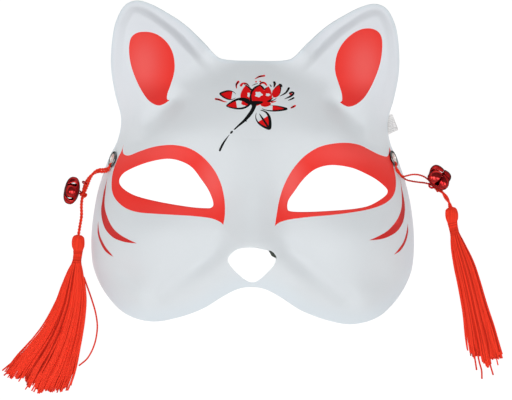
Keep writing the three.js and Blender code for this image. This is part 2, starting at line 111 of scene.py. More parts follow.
def through(points: Points, steps: int, closed: bool) -> Array:
    """Catmull-Rom curve through points, the cubic whose slope is half the neighbours' chord.

    Args:
        points: The points in order, in any number of dimensions.
        steps: Places worked out from one point to the next.
        closed: True for a ring, whose last point leads back to the first.

    Returns:
        The curve's places, one row each. A ring doesn't repeat its first.
    """
    p = np.asarray(points, float)
    if closed:
        rows = [np.roll(p, -k, 0) for k in (-1, 0, 1, 2)]
    else:
        wide = np.vstack([2 * p[0] - p[1], p, 2 * p[-1] - p[-2]])
        rows = [wide[:-3], wide[1:-2], wide[2:-1], wide[3:]]
    before, here, after, later = (row[:, None, :] for row in rows)
    t = (np.arange(steps) / steps)[None, :, None]
    square = 2 * before - 5 * here + 4 * after - later
    cube = 3 * here - before - 3 * after + later
    out = 0.5 * (2 * here + (after - before) * t + square * t**2 + cube * t**3)
    out = out.reshape(-1, p.shape[1])
    return out if closed else np.vstack([out, p[-1]])


def turns(count: int) -> Array:
    """Angles of a whole turn in equal steps."""
    return 2 * math.pi * np.arange(count) / count


def cornered_ring(arcs: tuple[Points, ...], steps: int) -> Array:
    """Closed outline of smooth arcs that meet at corners.

    Args:
        arcs: Each arc's points. It runs on to the next one's first point, and the last to the first's.
        steps: Places worked out from one point to the next.

    Returns:
        The ring's places, one row each, none repeated.
    """
    ends = [arc[0] for arc in arcs[1:] + arcs[:1]]
    return np.vstack([through((*arc, end), steps, closed=False)[:-1] for arc, end in zip(arcs, ends)])


def run_of(path: Array) -> Array:
    """Length along a path up to each of its places."""
    return np.concatenate([[0.0], np.cumsum(np.linalg.norm(np.diff(path, axis=0), axis=1))])


def spread(path: Array, count: int) -> Array:
    """The path again, as count places an equal length apart."""
    run = run_of(path)
    return place_at(path, np.linspace(0.0, run[-1], count))


def place_at(path: Array, along: Array) -> Array:
    """Places on a path at the given lengths along it."""
    run = run_of(path)
    return np.stack([np.interp(along, run, path[:, k]) for k in range(path.shape[1])], -1)


def inside(ring: Array, xy: Array) -> Array:
    """Which places lie inside a ring: those whose level ray crosses its sides an odd number of times.

    Args:
        ring: The ring's corners, one row each.
        xy: The places to test, one row each.

    Returns:
        One truth value for each place.
    """
    result = np.zeros(len(xy), bool)
    box = np.all((xy >= ring.min(0)) & (xy <= ring.max(0)), axis=1)
    near = np.flatnonzero(box)
    a, b = ring, np.roll(ring, -1, 0)
    for part in np.array_split(near, max(1, len(near) * len(ring) // 4_000_000)):
        x, y = xy[part, 0][:, None], xy[part, 1][:, None]
        spans = (a[:, 1] > y) != (b[:, 1] > y)
        rise = np.where(b[:, 1] == a[:, 1], 1e-9, b[:, 1] - a[:, 1])
        crosses = spans & (x < a[:, 0] + (y - a[:, 1]) * (b[:, 0] - a[:, 0]) / rise)
        result[part] = crosses.sum(1) % 2 == 1
    return result


def distance_to(ring: Array, x: Array, y: Array) -> Array:
    """Least distance from each place to a ring's sides, from the nearest point of every side.

    Args:
        ring: The ring's corners, one row each.
        x: Places across.
        y: Places up.

    Returns:
        The distances, in the shape of x.
    """
    flat = np.stack([np.ravel(x), np.ravel(y)], 1)
    a = ring
    side = np.roll(ring, -1, 0) - a
    least = np.empty(len(flat))
    for part in np.array_split(np.arange(len(flat)), max(1, len(flat) // 4000)):
        d = flat[part][:, None, :] - a[None]
        t = np.clip((d * side).sum(-1) / (side * side).sum(-1), 0.0, 1.0)
        least[part] = np.linalg.norm(d - t[..., None] * side, axis=-1).min(1)
    return least.reshape(np.shape(x))


def profile(stations: Points, y: Array) -> Array:
    """Height at y through (y, height) stations: a cubic between each two, flat past the ends.

    Args:
        stations: Pairs of y and height, in rising order.
        y: The places.

    Returns:
        The height at each place.
    """
    at = np.asarray(stations, float)
    count = len(at)
    after, before = np.minimum(np.arange(count) + 1, count - 1), np.maximum(np.arange(count) - 1, 0)
    slope = (at[after, 1] - at[before, 1]) / (at[after, 0] - at[before, 0])
    i = np.clip(np.searchsorted(at[:, 0], y, side="right") - 1, 0, count - 2)
    span = at[i + 1, 0] - at[i, 0]
    t = np.clip((y - at[i, 0]) / span, 0.0, 1.0)
    bend = slope[i] * t * (1 - t) ** 2 - slope[i + 1] * t * t * (1 - t)
    return mix(at[i, 1], at[i + 1, 1], t * t * (3 - 2 * t)) + span * bend


def tubes(paths: Array, radii: Array, sides: int, reference: Array) -> Form:
    """Round tubes along several paths, with a ring square to the path at each place and closed ends.

    Args:
        paths: Middle lines, as (tube, station, xyz) in millimetres.
        radii: Radius at each (tube, station).
        sides: Corners of a ring.
        reference: Direction the ring's first corner leans to, one for all or one for each station.

    Returns:
        The points, and the faces as index arrays: the walls' quads, then the caps.
    """
    count, stations = paths.shape[:2]
    run = unit(np.gradient(paths, axis=1))
    lean = np.broadcast_to(reference, paths.shape)
    first = unit(lean - run * (lean * run).sum(-1, keepdims=True))
    second = np.cross(run, first)
    angle = turns(sides)
    ring = np.cos(angle)[:, None] * first[:, :, None] + np.sin(angle)[:, None] * second[:, :, None]
    points = paths[:, :, None] + radii[:, :, None, None] * ring
    index = np.arange(count * stations * sides).reshape(count, stations, sides)
    ahead = np.roll(index, -1, 2)
    walls = np.stack([index[:, :-1], ahead[:, :-1], ahead[:, 1:], index[:, 1:]], -1)
    caps = np.concatenate([index[:, 0, ::-1], index[:, -1]])
    return points.reshape(-1, 3), [walls.reshape(-1, 4), caps]


def joined(parts: list[Form]) -> Form:
    """Several sets of points and faces as one, with the later faces' indices moved up.

    Args:
        parts: Points and faces of each set.

    Returns:
        All points and all faces.
    """
    points, faces, start = [], [], 0
    for part_points, part_faces in parts:
        points.append(part_points)
        faces += [face + start for face in part_faces]
        start += len(part_points)
    return np.vstack(points), faces


def grid_faces(rows: int, columns: int, wrap: bool = False) -> Array:
    """Quads of a grid whose points run row by row.

    Args:
        rows: Rows of points.
        columns: Points in a row.
        wrap: True where a row's last point joins its first.

    Returns:
        One row of four indices for each quad.
    """
    index = np.arange(rows * columns).reshape(rows, columns)
    ahead = np.roll(index, -1, 1)
    cut = columns if wrap else columns - 1
    quads = np.stack([index[:-1], ahead[:-1], ahead[1:], index[1:]], -1)[:, :cut]
    return quads.reshape(-1, 4)


def turned(outline: Array, sides: int, flip: bool = False) -> Form:
    """Ring-shaped solid: a closed (radius, height) outline turned round +Z.

    Args:
        outline: The outline's corners, going anticlockwise with radius to the right.
        sides: Steps round the axis.
        flip: True where the outline goes clockwise.

    Returns:
        The points and the faces.
    """
    angle = turns(sides)
    r, z = outline[:, 0][:, None], outline[:, 1][:, None]
    points = np.stack([r * np.cos(angle), r * np.sin(angle), z + 0 * angle], -1)
    count = len(outline)
    index = np.arange(count * sides).reshape(count, sides)
    ahead, above = np.roll(index, -1, 1), np.roll(index, -1, 0)
    both = np.roll(ahead, -1, 0)
    quads = np.stack([index, ahead, both, above], -1).reshape(-1, 4)
    return points.reshape(-1, 3), [quads[:, ::-1] if flip else quads]


def facing(direction: Array) -> Array:
    """Matrix whose columns are two directions square to the given one, and it, as a right-handed set.

    Args:
        direction: The direction that becomes the last column.

    Returns:
        The three columns.
    """
    z = unit(np.asarray(direction, float))
    x = unit(np.cross(UP, z))
    return np.stack([x, np.cross(z, x), z], 1)


def make_piece(name: str, points: Array, faces: list[Array], weld: float = 0.0) -> Piece:
    """Mesh object at the origin from points in millimetres and index arrays of faces.

    Args:
        name: The piece's name.
        points: One row for each point.
        faces: Arrays of corner indices, each with one row for each face.
        weld: Points closer than this many millimetres become one.

    Returns:
        The new object, linked to the scene and smooth.
    """
    mesh = bpy.data.meshes.new(name)
    corners = np.concatenate([face.ravel() for face in faces]).astype(np.int32)
    sizes = np.concatenate([np.full(len(face), face.shape[1]) for face in faces])
    starts = np.concatenate([[0], np.cumsum(sizes)[:-1]]).astype(np.int32)
    mesh.vertices.add(len(points))
    mesh.vertices.foreach_set("co", (points * MM).astype(np.float32).ravel())
    mesh.loops.add(len(corners))
    mesh.loops.foreach_set("vertex_index", corners)
    mesh.polygons.add(len(sizes))
    mesh.polygons.foreach_set("loop_start", starts)
    mesh.update(calc_edges=True)
    piece = bpy.data.objects.new(name, mesh)
    bpy.context.scene.collection.objects.link(piece)
    if weld:
        weld_points(mesh, weld * MM)
    mesh.polygons.foreach_set("use_smooth", np.ones(len(mesh.polygons), bool))
    return piece


def weld_points(mesh: bpy.types.Mesh, distance: float) -> None:
    """Merges points closer than distance, in metres, and drops the faces that fold up.

    Args:
        mesh: The mesh, changed in place.
        distance: How close two points that merge are.
    """
    work = bmesh.new()
    work.from_mesh(mesh)
    bmesh.ops.remove_doubles(work, verts=work.verts, dist=distance)
    bmesh.ops.dissolve_degenerate(work, edges=work.edges, dist=distance * 0.1)
    work.to_mesh(mesh)
    work.free()


def lift_normals(piece: Piece, lift: float) -> None:
    """Bends the shading normals upwards, n + lift up, as light scatters through a soft bundle of fibres.

    Args:
        piece: The piece, whose mesh keeps the new normals.
        lift: How much of up is added.
    """
    count = len(piece.data.vertices)
    own = np.empty(count * 3, np.float32)
    piece.data.vertex_normals.foreach_get("vector", own)
    bent = unit(own.reshape(-1, 3) + lift * UP)
    piece.data.normals_split_custom_set_from_vertices(bent.tolist())


def note_values(piece: Piece, name: str, values: Array, domain: str = "POINT") -> None:
    """Stores one number for each point, or each face's corner, under a name that a material reads."""
    kept = piece.data.attributes.new(name, "FLOAT", domain)
    kept.data.foreach_set("value", np.asarray(values, np.float32).ravel())


class Board:
    """Puts nodes into a tree and joins them."""

    def __init__(self, tree: Tree) -> None:
        """Keeps the tree that nodes go into."""
        self.tree = tree

    def node(self, kind: str, **settings: object) -> Node:
        """New node of a kind, with its own settings put on.

        Args:
            kind: The node's type name.
            settings: Its own properties by name.

        Returns:
            The node.
        """
        made = self.tree.nodes.new(kind)
        for key, value in settings.items():
            setattr(made, key, value)
        return made

    def join(self, source: Socket, target: Socket) -> None:
        """Link from one socket to another."""
        self.tree.links.new(source, target)

    def feed(self, socket: Socket, value: object) -> None:
        """Joins a socket to another one, or sets it to a number or a colour.

        Args:
            socket: The input.
            value: A socket, a number or a colour.
        """
        if isinstance(value, Socket):
            self.join(value, socket)
        else:
            socket.default_value = value

    def compute(self, kind: str, a: object, b: object, c: object = 0.0) -> Socket:
        """Result of a Math node.

        Args:
            kind: The operation's name.
            a: First number, or a socket that gives it.
            b: Second number or socket.
            c: Third number or socket, where the operation has one.

        Returns:
            The result's socket.
        """
        made = self.node("ShaderNodeMath", operation=kind)
        for socket, value in zip(made.inputs, (a, b, c)):
            self.feed(socket, value)
        return made.outputs[0]

    def blend(self, share: object, a: object, b: object, way: str = "MIX") -> Socket:
        """Colour blend of a and b by a share.

        Args:
            share: 0 for a and 1 for b, as a number or a socket.
            a: First colour or socket.
            b: Second colour or socket.
            way: The blend's name.

        Returns:
            The blended colour's socket.
        """
        made = self.node("ShaderNodeMix", data_type="RGBA", blend_type=way)
        for socket, value in zip((made.inputs[0], made.inputs[6], made.inputs[7]), (share, a, b)):
            self.feed(socket, value)
        return made.outputs[2]

    def toned(self, colour: object, tone: Socket) -> Socket:
        """A colour made lighter or darker.

        Args:
            colour: The colour, or a socket that gives it.
            tone: Number near 1 that each part of the colour is multiplied by.

        Returns:
            The new colour's socket.
        """
        grey = self.node("ShaderNodeCombineColor")
        for socket in grey.inputs:
            self.join(tone, socket)
        return self.blend(1.0, colour, grey.outputs[0], "MULTIPLY")

    def value(self, name: str) -> Socket:
        """A number that the piece's mesh keeps under a name."""
        return self.node("ShaderNodeAttribute", attribute_name=name).outputs["Fac"]

    def spot(self) -> Socket:
        """The place on the piece, in metres."""
        return self.node("ShaderNodeTexCoord").outputs["Object"]


def grain_group() -> Tree:
    """Fine irregular grain for any finish: noise of a given size as a tone near 1 and as a height.

    Returns:
        The node group, made once, with inputs Scale and Spread and outputs Tone and Height.
    """
    name = "fine_grain"
    if name in bpy.data.node_groups:
        return bpy.data.node_groups[name]
    tree = bpy.data.node_groups.new(name, "ShaderNodeTree")
    for label, start in (("Scale", 900.0), ("Spread", 0.02)):
        given_socket = tree.interface.new_socket(label, in_out="INPUT", socket_type="NodeSocketFloat")
        given_socket.default_value = start
    for label in ("Tone", "Height"):
        tree.interface.new_socket(label, in_out="OUTPUT", socket_type="NodeSocketFloat")
    board = Board(tree)
    given, out = board.node("NodeGroupInput"), board.node("NodeGroupOutput")
    noise = board.node("ShaderNodeTexNoise")
    noise.inputs["Detail"].default_value = 3.0
    board.join(board.spot(), noise.inputs["Vector"])
    board.join(given.outputs["Scale"], noise.inputs["Scale"])
    off_middle = board.compute("SUBTRACT", noise.outputs[0], 0.5)
    swing = board.compute("MULTIPLY", off_middle, given.outputs["Spread"])
    board.join(board.compute("MULTIPLY_ADD", swing, 2.0, 1.0), out.inputs["Tone"])
    board.join(noise.outputs[0], out.inputs["Height"])
    return tree


def add_grain(board: Board, scale: float, strength: float) -> Node:
    """The grain group placed in a material.

    Args:
        board: The material's board.
        scale: Grains in a metre.
        strength: How far the tone swings from 1.

    Returns:
        The group's node, with outputs Tone and Height.
    """
    node = board.node("ShaderNodeGroup", node_tree=grain_group())
    node.inputs["Scale"].default_value = scale
    node.inputs["Spread"].default_value = strength
    return node


def add_bump(board: Board, height: Socket, depth_mm: float, strength: float) -> Socket:
    """Normal bent by a height.

    Args:
        board: The material's board.
        height: The height's socket, 0 to 1.
        depth_mm: The relief's depth in millimetres.
        strength: How strongly it shows.

    Returns:
        The bent normal's socket.
    """
    bump = board.node("ShaderNodeBump")
    bump.inputs["Strength"].default_value = strength
    bump.inputs["Distance"].default_value = depth_mm * MM
    board.join(height, bump.inputs["Height"])
    return bump.outputs["Normal"]


def new_material(name: str) -> tuple[Material, Board, Node]:
    """Node material with a Principled shader.

    Args:
        name: The material's name.

    Returns:
        The material, a board on its tree and its shader node.
    """
    material = bpy.data.materials.new(name)
    material.use_nodes = True
    board = Board(material.node_tree)
    return material, board, material.node_tree.nodes["Principled BSDF"]


@dataclass(frozen=True)
class PaintedShellFinish:
    """Satin white moulded shell with red and black paint, told apart by values on the mesh, which also carry
    painted light, painted highlights and painted shade.
    """

    white: Colour = (0.738, 0.773, 0.800, 1.0)
    # Lighter, bluer white painted on the ear plates: painted light.
    ear_painted_light_white: Colour = (0.795, 0.825, 0.87, 1.0)
    # Lighter, bluer white painted near the outline and the rim: painted light on the flanks.
    edge: Colour = (0.735, 0.795, 0.840, 1.0)
    red: Colour = (0.92, 0.032, 0.022, 1.0)
    highlight_red: Colour = (0.93, 0.115, 0.105, 1.0)
    shaded_red: Colour = (0.56, 0.012, 0.012, 1.0)
    brush_red: Colour = (0.72, 0.004, 0.006, 1.0)
    black: Colour = (0.004, 0.004, 0.005, 1.0)
    fleck: Colour = (0.055, 0.065, 0.055, 1.0)
    roughness: float = 0.46
    paint_roughness: float = 0.55
    gloss: float = 0.13
    cloud_grain: Pair = (42.0, 0.018)
    fine_grain: Pair = (1500.0, 0.012)
    relief_mm: float = 0.03
    relief_strength: float = 0.25

    def make(self) -> Material:
        """Builds the material: white with painted light on the ears and edges, then red with painted
        highlights and painted shade, the flower's red, the black and the fleck.

        Returns:
            The material.
        """
        material, board, shader = new_material("painted_shell")
        cloud = add_grain(board, *self.cloud_grain)
        fine = add_grain(board, *self.fine_grain)
        # Painted light: the ear plates get a lighter, bluer white.
        body = board.blend(board.value("ear_painted_light"), self.white, self.ear_painted_light_white)
        # Painted light: near the outline, widest low on the flanks, the white is lighter and bluer to lift
        # their shade.
        body = board.blend(board.value("edge_painted_light"), body, self.edge)
        # Painted highlights: paler red in soft round spots.
        band = board.blend(board.value("red_painted_highlight"), self.red, self.highlight_red)
        # Painted shade: darker red where the face turns away.
        band = board.blend(board.value("red_painted_shade"), band, self.shaded_red)
        body = board.blend(board.value("paint_red"), body, band)
        body = board.blend(board.value("paint_brush_red"), body, self.brush_red)
        body = board.blend(board.value("paint_black"), body, self.black)
        body = board.blend(board.value("paint_fleck"), body, self.fleck)
        tone = board.compute("MULTIPLY", cloud.outputs["Tone"], fine.outputs["Tone"])
        board.join(board.toned(body, tone), shader.inputs["Base Color"])
        wet = board.compute("MULTIPLY", board.value("paint_red"), self.paint_roughness - self.roughness)
        rough = board.compute("ADD", wet, self.roughness)
        board.join(board.compute("MULTIPLY", rough, cloud.outputs["Tone"]), shader.inputs["Roughness"])
        bent = add_bump(board, fine.outputs["Height"], self.relief_mm, self.relief_strength)
        board.join(bent, shader.inputs["Normal"])
        shader.inputs["Specular IOR Level"].default_value = self.gloss
        return material


@dataclass(frozen=True)
class ThreadFinish:
    """Red rayon thread, a little lighter or darker from strand to strand, with painted shade on some threads,
    and a soft sheen.
    """

    name: str = "red_thread"
    light: Colour = (1.0, 0.052, 0.024, 1.0)
    deep: Colour = (0.34, 0.003, 0.002, 1.0)
    glint: Colour = (1.0, 0.12, 0.06, 1.0)
    sheen: Colour = (1.0, 0.10, 0.04, 1.0)
    roughness: float = 0.55
    fibre_grain: Pair = (2600.0, 0.10)
    relief_mm: float = 0.05
    relief_strength: float = 0.4

    def make(self) -> Material:
        """Builds the material from the mesh's strand tone and fine fibres.

        Returns:
            The material.
        """
        material, board, shader = new_material(self.name)
        fibre = add_grain(board, *self.fibre_grain)
        # The strand tone holds random differences and painted shade.
        body = board.blend(board.value("strand_tone_and_shade"), self.deep, self.light)
        board.join(board.toned(body, fibre.outputs["Tone"]), shader.inputs["Base Color"])
        rough = board.compute("MULTIPLY", fibre.outputs["Tone"], self.roughness)
        board.join(rough, shader.inputs["Roughness"])
        bent = add_bump(board, fibre.outputs["Height"], self.relief_mm, self.relief_strength)
        board.join(bent, shader.inputs["Normal"])
        shader.inputs["Specular IOR Level"].default_value = 0.90
        shader.inputs["Specular Tint"].default_value = self.glint
        shader.inputs["Sheen Weight"].default_value = 0.80
        shader.inputs["Sheen Roughness"].default_value = 0.50
        shader.inputs["Sheen Tint"].default_value = self.sheen
        return material


@dataclass(frozen=True)
class MetalFinish:
    """Bright sheet metal, plain or under clear red lacquer, with a second tone in a slow cloud: wear, and on
    the bell painted reflections.

    The colour goes darker where the surface is seen at a slant: painted shade for dark reflections at the
    rims. The same colour tints the metal's reflection at its edges.
    """

    name: str
    colour: Colour
    wear_and_painted_reflection: Colour
    painted_rim_shade: Colour
    roughness: float
    coat: float = 0.0
    rim_shade_blend: float = 0.5
    # Much lighter metal colour where the mesh marks it: a painted highlight.
    painted_highlight: Colour = (0.95, 0.94, 0.90, 1.0)
    painted_highlight_roughness: float = 0.35
    cloud_grain: Pair = (260.0, 1.6)
    cloud_start: float = 0.55
    fine_grain: Pair = (3200.0, 0.22)
    relief_mm: float = 0.25
    relief_strength: float = 0.25

    def make(self) -> Material:
        """Builds the material: two tones by a slow cloud (wear, and on the bell painted reflections), painted
        shade at a slant, a painted highlight where the mesh marks one, and fine marks.

        Returns:
            The material.
        """
        material, board, shader = new_material(self.name)
        cloud = add_grain(board, *self.cloud_grain)
        fine = add_grain(board, *self.fine_grain)
        share = board.compute("SUBTRACT", cloud.outputs["Tone"], self.cloud_start)
        body = board.blend(share, self.colour, self.wear_and_painted_reflection)
        # Painted shade: darker colour where the surface is seen at a slant, for dark reflections.
        slant = board.node("ShaderNodeLayerWeight")
        slant.inputs["Blend"].default_value = self.rim_shade_blend
        body = board.blend(slant.outputs["Facing"], body, self.painted_rim_shade)
        # Painted highlight where the mesh marks it.
        body = board.blend(board.value("painted_highlight"), body, self.painted_highlight)
        board.join(body, shader.inputs["Base Color"])
        rough = board.compute("MULTIPLY", fine.outputs["Tone"], self.roughness)
        satin = board.compute("MULTIPLY", board.value("painted_highlight"), self.painted_highlight_roughness)
        board.join(board.compute("ADD", rough, satin), shader.inputs["Roughness"])
        bent = add_bump(board, cloud.outputs["Height"], self.relief_mm, self.relief_strength)
        board.join(bent, shader.inputs["Normal"])
        shader.inputs["Metallic"].default_value = 1.0
        shader.inputs["Specular Tint"].default_value = self.painted_rim_shade
        shader.inputs["Coat Weight"].default_value = self.coat
        shader.inputs["Coat Roughness"].default_value = 0.08
        return material


@dataclass(frozen=True)
class ElasticFinish:
    """Off-white woven elastic: rubber ribs under a fine crosswise weave."""

    light: Colour = (0.93, 0.915, 0.91, 1.0)
    dark: Colour = (0.79, 0.775, 0.77, 1.0)
    picks_per_mm: float = 2.4
    pick_tone: float = 0.10
    fine_grain: Pair = (2800.0, 0.06)
    relief_mm: float = 0.06
    relief_strength: float = 0.6

    def make(self) -> Material:
        """Builds the material: crosswise picks by the length along the band, and painted shade darker in the
        furrows.

        Returns:
            The material.
        """
        material, board, shader = new_material("woven_elastic")
        fine = add_grain(board, *self.fine_grain)
        turn = board.compute("MULTIPLY", board.value("along_mm"), self.picks_per_mm * 2 * math.pi)
        pick = board.compute("SINE", turn, 0.0)
        swing = board.compute("MULTIPLY", pick, self.pick_tone)
        # Painted shade: the rib value makes the furrows between the ribs darker.
        share = board.compute("ADD", swing, board.value("rib"))
        body = board.blend(share, self.dark, self.light)
        board.join(board.toned(body, fine.outputs["Tone"]), shader.inputs["Base Color"])
        bent = add_bump(board, pick, self.relief_mm, self.relief_strength)
        board.join(bent, shader.inputs["Normal"])
        shader.inputs["Roughness"].default_value = 0.85
        return material


@dataclass(frozen=True)
class TableFinish:
    """Plain near-white table top."""

    white: Colour = (0.14, 0.14, 0.14, 1.0)
    glow: float = 0.93
    grain: Pair = (60.0, 0.006)

    def make(self) -> Material:
        """Builds the material, with a faint grain.

        Returns:
            The material.
        """
        material, board, shader = new_material("white_table")
        fine = add_grain(board, *self.grain)
        board.join(board.toned(self.white, fine.outputs["Tone"]), shader.inputs["Base Color"])
        shader.inputs["Roughness"].default_value = 0.9
        shader.inputs["Specular IOR Level"].default_value = 0.1
        shader.inputs["Emission Color"].default_value = (1.0, 1.0, 1.0, 1.0)
        shader.inputs["Emission Strength"].default_value = self.glow
        return material


@dataclass(frozen=True)
class Swelling:
    """A mirrored rise or hollow of the face: height x exp(-u^2 - v^2) in its own turned axes."""

    at: Pair
    radii: Pair
    turn: float
    height: float

    def over(self, x: Array, y: Array) -> Array:
        """Its height at each place.

        Args:
            x, y: Places across and up the face.

        Returns:
            The heights.
        """
        dx, dy = x - self.at[0], y - self.at[1]
        u = (dx * math.cos(self.turn) + dy * math.sin(self.turn)) / self.radii[0]
        v = (dy * math.cos(self.turn) - dx * math.sin(self.turn)) / self.radii[1]
        return self.height * np.exp(-u * u - v * v)


@dataclass(frozen=True)
class Valley:
    """A mirrored furrow along a line: a bell-shaped hollow across it, eased off at both ends."""

    start: Pair
    end: Pair
    width: float
    depth: float

    def over(self, x: Array, y: Array) -> Array:
        """Its height, below zero, at each place.

        Args:
            x, y: Places across and up the face.

        Returns:
            The heights.
        """
        lx, ly = self.end[0] - self.start[0], self.end[1] - self.start[1]
        length = math.hypot(lx, ly)
        along = ((x - self.start[0]) * lx + (y - self.start[1]) * ly) / length
        across = ((x - self.start[0]) * ly - (y - self.start[1]) * lx) / length
        ends = ease(-self.width, self.width, along)
        ends = ends * (1 - ease(length - self.width, length + self.width, along))
        return -self.depth * ends * np.exp(-((across / self.width) ** 2))


@dataclass
class FaceForm:
    """Outline of the mask and the height of its outer face over the table, in millimetres."""

    forehead_and_ear: Points = (
        (0, 54.2), (15.2, 54.2), (20.9, 56.3), (28.2, 63.8), (37.6, 72.8), (47.2, 79.0), (55.4, 83.1),
        (62.6, 84.8), (68.7, 82.6), (72.9, 76.0),
    )
    side: Points = (
        (75.4, 66.7), (77.1, 51.0), (75.9, 37.0), (73.7, 24.5), (75.8, 13.0), (80.4, 3.0), (86.0, -14.5),
        (88.9, -32.0), (89.4, -47.0), (87.4, -59.8),
    )
    lobe_and_mouth: Points = (
        (80.4, -71.0), (68.4, -81.2), (54.0, -84.9), (40.2, -82.5), (26.2, -77.0), (15.2, -69.8),
        (7.2, -65.5), (0, -64.2),
    )
    left_eye: Points = (
        (-45.0, 1.6), (-54.2, 0.1), (-63.3, -2.8), (-69.6, -5.9), (-72.0, -9.8), (-69.7, -13.7),
        (-62.2, -17.7), (-50.0, -20.6), (-34.0, -23.1), (-24.8, -23.8), (-21.2, -23.4), (-20.3, -20.9),
        (-22.6, -14.8), (-26.6, -8.9), (-31.8, -2.6), (-38.1, 0.6),
    )
    right_eye: Points = (
        (42.8, -0.5), (51.4, -1.7), (58.8, -4.4), (65.1, -7.4), (70.2, -11.0), (71.9, -13.3), (70.5, -15.9),
        (65.4, -19.2), (59.7, -21.7), (51.6, -23.2), (39.4, -24.3), (27.0, -25.0), (19.4, -24.8),
        (17.6, -23.3), (18.0, -19.1), (20.9, -14.6), (25.4, -8.3), (30.7, -3.4), (36.6, -1.0),
    )
    nose_hole: Points = (
        (-0.4, -43.1), (7.2, -44.4), (8.6, -45.2), (9.8, -47.2), (11.2, -48.2), (12.0, -48.7),
        (11.3, -52.2), (6.8, -57.5), (3.0, -60.8), (0.4, -61.7), (-2.4, -61.0), (-6.2, -58.3),
        (-11.2, -53.0), (-12.4, -49.0), (-7.8, -44.3),
    )
    crown: Points = (
        (-95, 20), (-85, 29), (-75, 38), (-64, 45.5), (-50, 50), (-35, 52), (-18, 52.4), (0, 53), (12, 53),
        (24, 50.6), (36, 45.6), (46, 40), (55, 34.2), (66, 27), (95, 12),
    )
    nose_height: Points = (
        (-68, 0), (-62, 2.2), (-56, 5), (-49, 8.2), (-43, 9.6), (-36, 7.6), (-28, 5), (-15, 3), (-3, 1.6),
        (12, 0),
    )
    nose_width: Points = ((-62, 14), (-46, 15), (-30, 11), (-10, 9), (10, 9))
    swellings: tuple[Swelling, ...] = (
        Swelling((44, 14), (24, 9), -0.17, 2.5),
        Swelling((45, -10), (28, 13), -0.1, -2),
        Swelling((17, -20), (7, 11), 0.2, -1.5),
        Swelling((50, -38), (24, 14), 0, 4.5),
        Swelling((21, -61), (11, 9), -0.5, 3.5),
        Swelling((67, -59), (11, 7), 0.5, -3.6),
        Swelling((60, -73), (13, 9), 0, 2),
    )
    valleys: tuple[Valley, ...] = (
        Valley((15, -41), (54, -74), 6, 3.2),
        Valley((38, 35), (58, 19), 5, 3.2),
    )
    arch_power: float = 3.7
    edge_power: int = 10
    ear_power: float = 8.0
    ear_base: Pair = (37.0, 36.0)
    ear_normal: Pair = (0.637, 0.771)
    ear_blend: Pair = (-7.0, 11.0)
    ear_rows: Pair = (0.0, 26.0)
    plate_at: Triple = (50.0, 35.0, 41.5)
    plate_slopes: Pair = (0.03, 0.06)
    ear_rim: float = 35.0
    ear_rim_rows: Pair = (8.0, 72.0)
    lobe_rim: float = 10.0
    lobe_rim_rows: Pair = (-92.0, -57.0)
    level_rim_top: float = 28.0
    top_lean: float = -0.16
    bottom_lean: float = 0.36
    flange: Pair = (2.2, 4.6)
    flange_slope: float = 5.4
    flange_inner: Pair = (38.0, 66.0)
    flange_rows: Pair = (2.0, 30.0)
    flange_columns: Pair = (20.0, 38.0)
    strip_rows: Pair = (14.0, 40.0)
    groove: Triple = (0.1, 0.8, 1.8)
    outer_step: float = 1.8
    inner_step: float = 4.6
    outline_steps: int = 12
    slope_reach: float = 0.05
    cut_halvings: int = 18

    def __post_init__(self) -> None:
        """Works out the outline and the stretch of it that runs down the side."""
        half = self.forehead_and_ear + self.side + self.lobe_and_mouth
        mirrored = tuple((-x, y) for x, y in half[1:-1][::-1])
        self.outline = through(half + mirrored, self.outline_steps, closed=True)
        first = len(self.forehead_and_ear) * self.outline_steps
        last = first + (len(self.side) - 1) * self.outline_steps
        self.side_line = self.outline[first : last + 1]

    def half_width(self, y: Array) -> Array:
        """Half the mask's width at y, carried on straight past the side's two ends.

        Args:
            y: Places up the face.

        Returns:
            The half widths.
        """
        (top_x, top_y), (low_x, low_y) = self.side_line[0], self.side_line[-1]
        wide = np.interp(y, self.side_line[::-1, 1], self.side_line[::-1, 0])
        wide = np.where(y >= top_y, top_x + self.top_lean * (y - top_y), wide)
        return np.where(y <= low_y, low_x + self.bottom_lean * (y - low_y), wide)

    def rim_height(self, y: Array) -> Array:
        """Height of the side rim over the table: level, rising to the ears and to the lobes."""
        return self.ear_rim * ease(*self.ear_rim_rows, y) + self.lobe_rim * (1 - ease(*self.lobe_rim_rows, y))

    def level_cut(self, y: Array) -> Array:
        """Height under which the steep side walls are cut off level."""
        side = self.rim_height(y) - self.outer_step * ease(*self.strip_rows, y)
        return np.where(y > 0, np.minimum(self.level_rim_top, side), 0.0).clip(0.0)

    def height(self, x: Array, y: Array) -> Array:
        """Height of the outer face.

        An arch across the face stands on the side rims: rim + (top - rim)(1 - |x/a|^n). In the
        ears the top is a flat plate and n is larger. Nose ridge, swellings and furrows are
        added, fading towards the rim, and the ear's outer strip is a step lower.

        Args:
            x, y: Places across and up the face.

        Returns:
            The height at each place.
        """
        share = self.ear_share(x, y, 0.0)
        plate_x, plate_y, plate_z = self.plate_at
        plate = plate_z - self.plate_slopes[1] * (y - plate_y) - self.plate_slopes[0] * (np.abs(x) - plate_x)
        rim, across = self.rim_height(y), np.abs(x) / self.half_width(y)
        top = mix(profile(self.crown, y), plate, share)
        arch = rim + (top - rim) * (1 - across ** mix(self.arch_power, self.ear_power, share))
        relief = profile(self.nose_height, y) * np.exp(-((x / profile(self.nose_width, y)) ** 2))
        for item in self.swellings + self.valleys:
            relief = relief + item.over(x, y) + item.over(-x, y)
        return arch + relief * np.maximum(0.0, 1 - across**self.edge_power) - self.flange_drop(x, y)

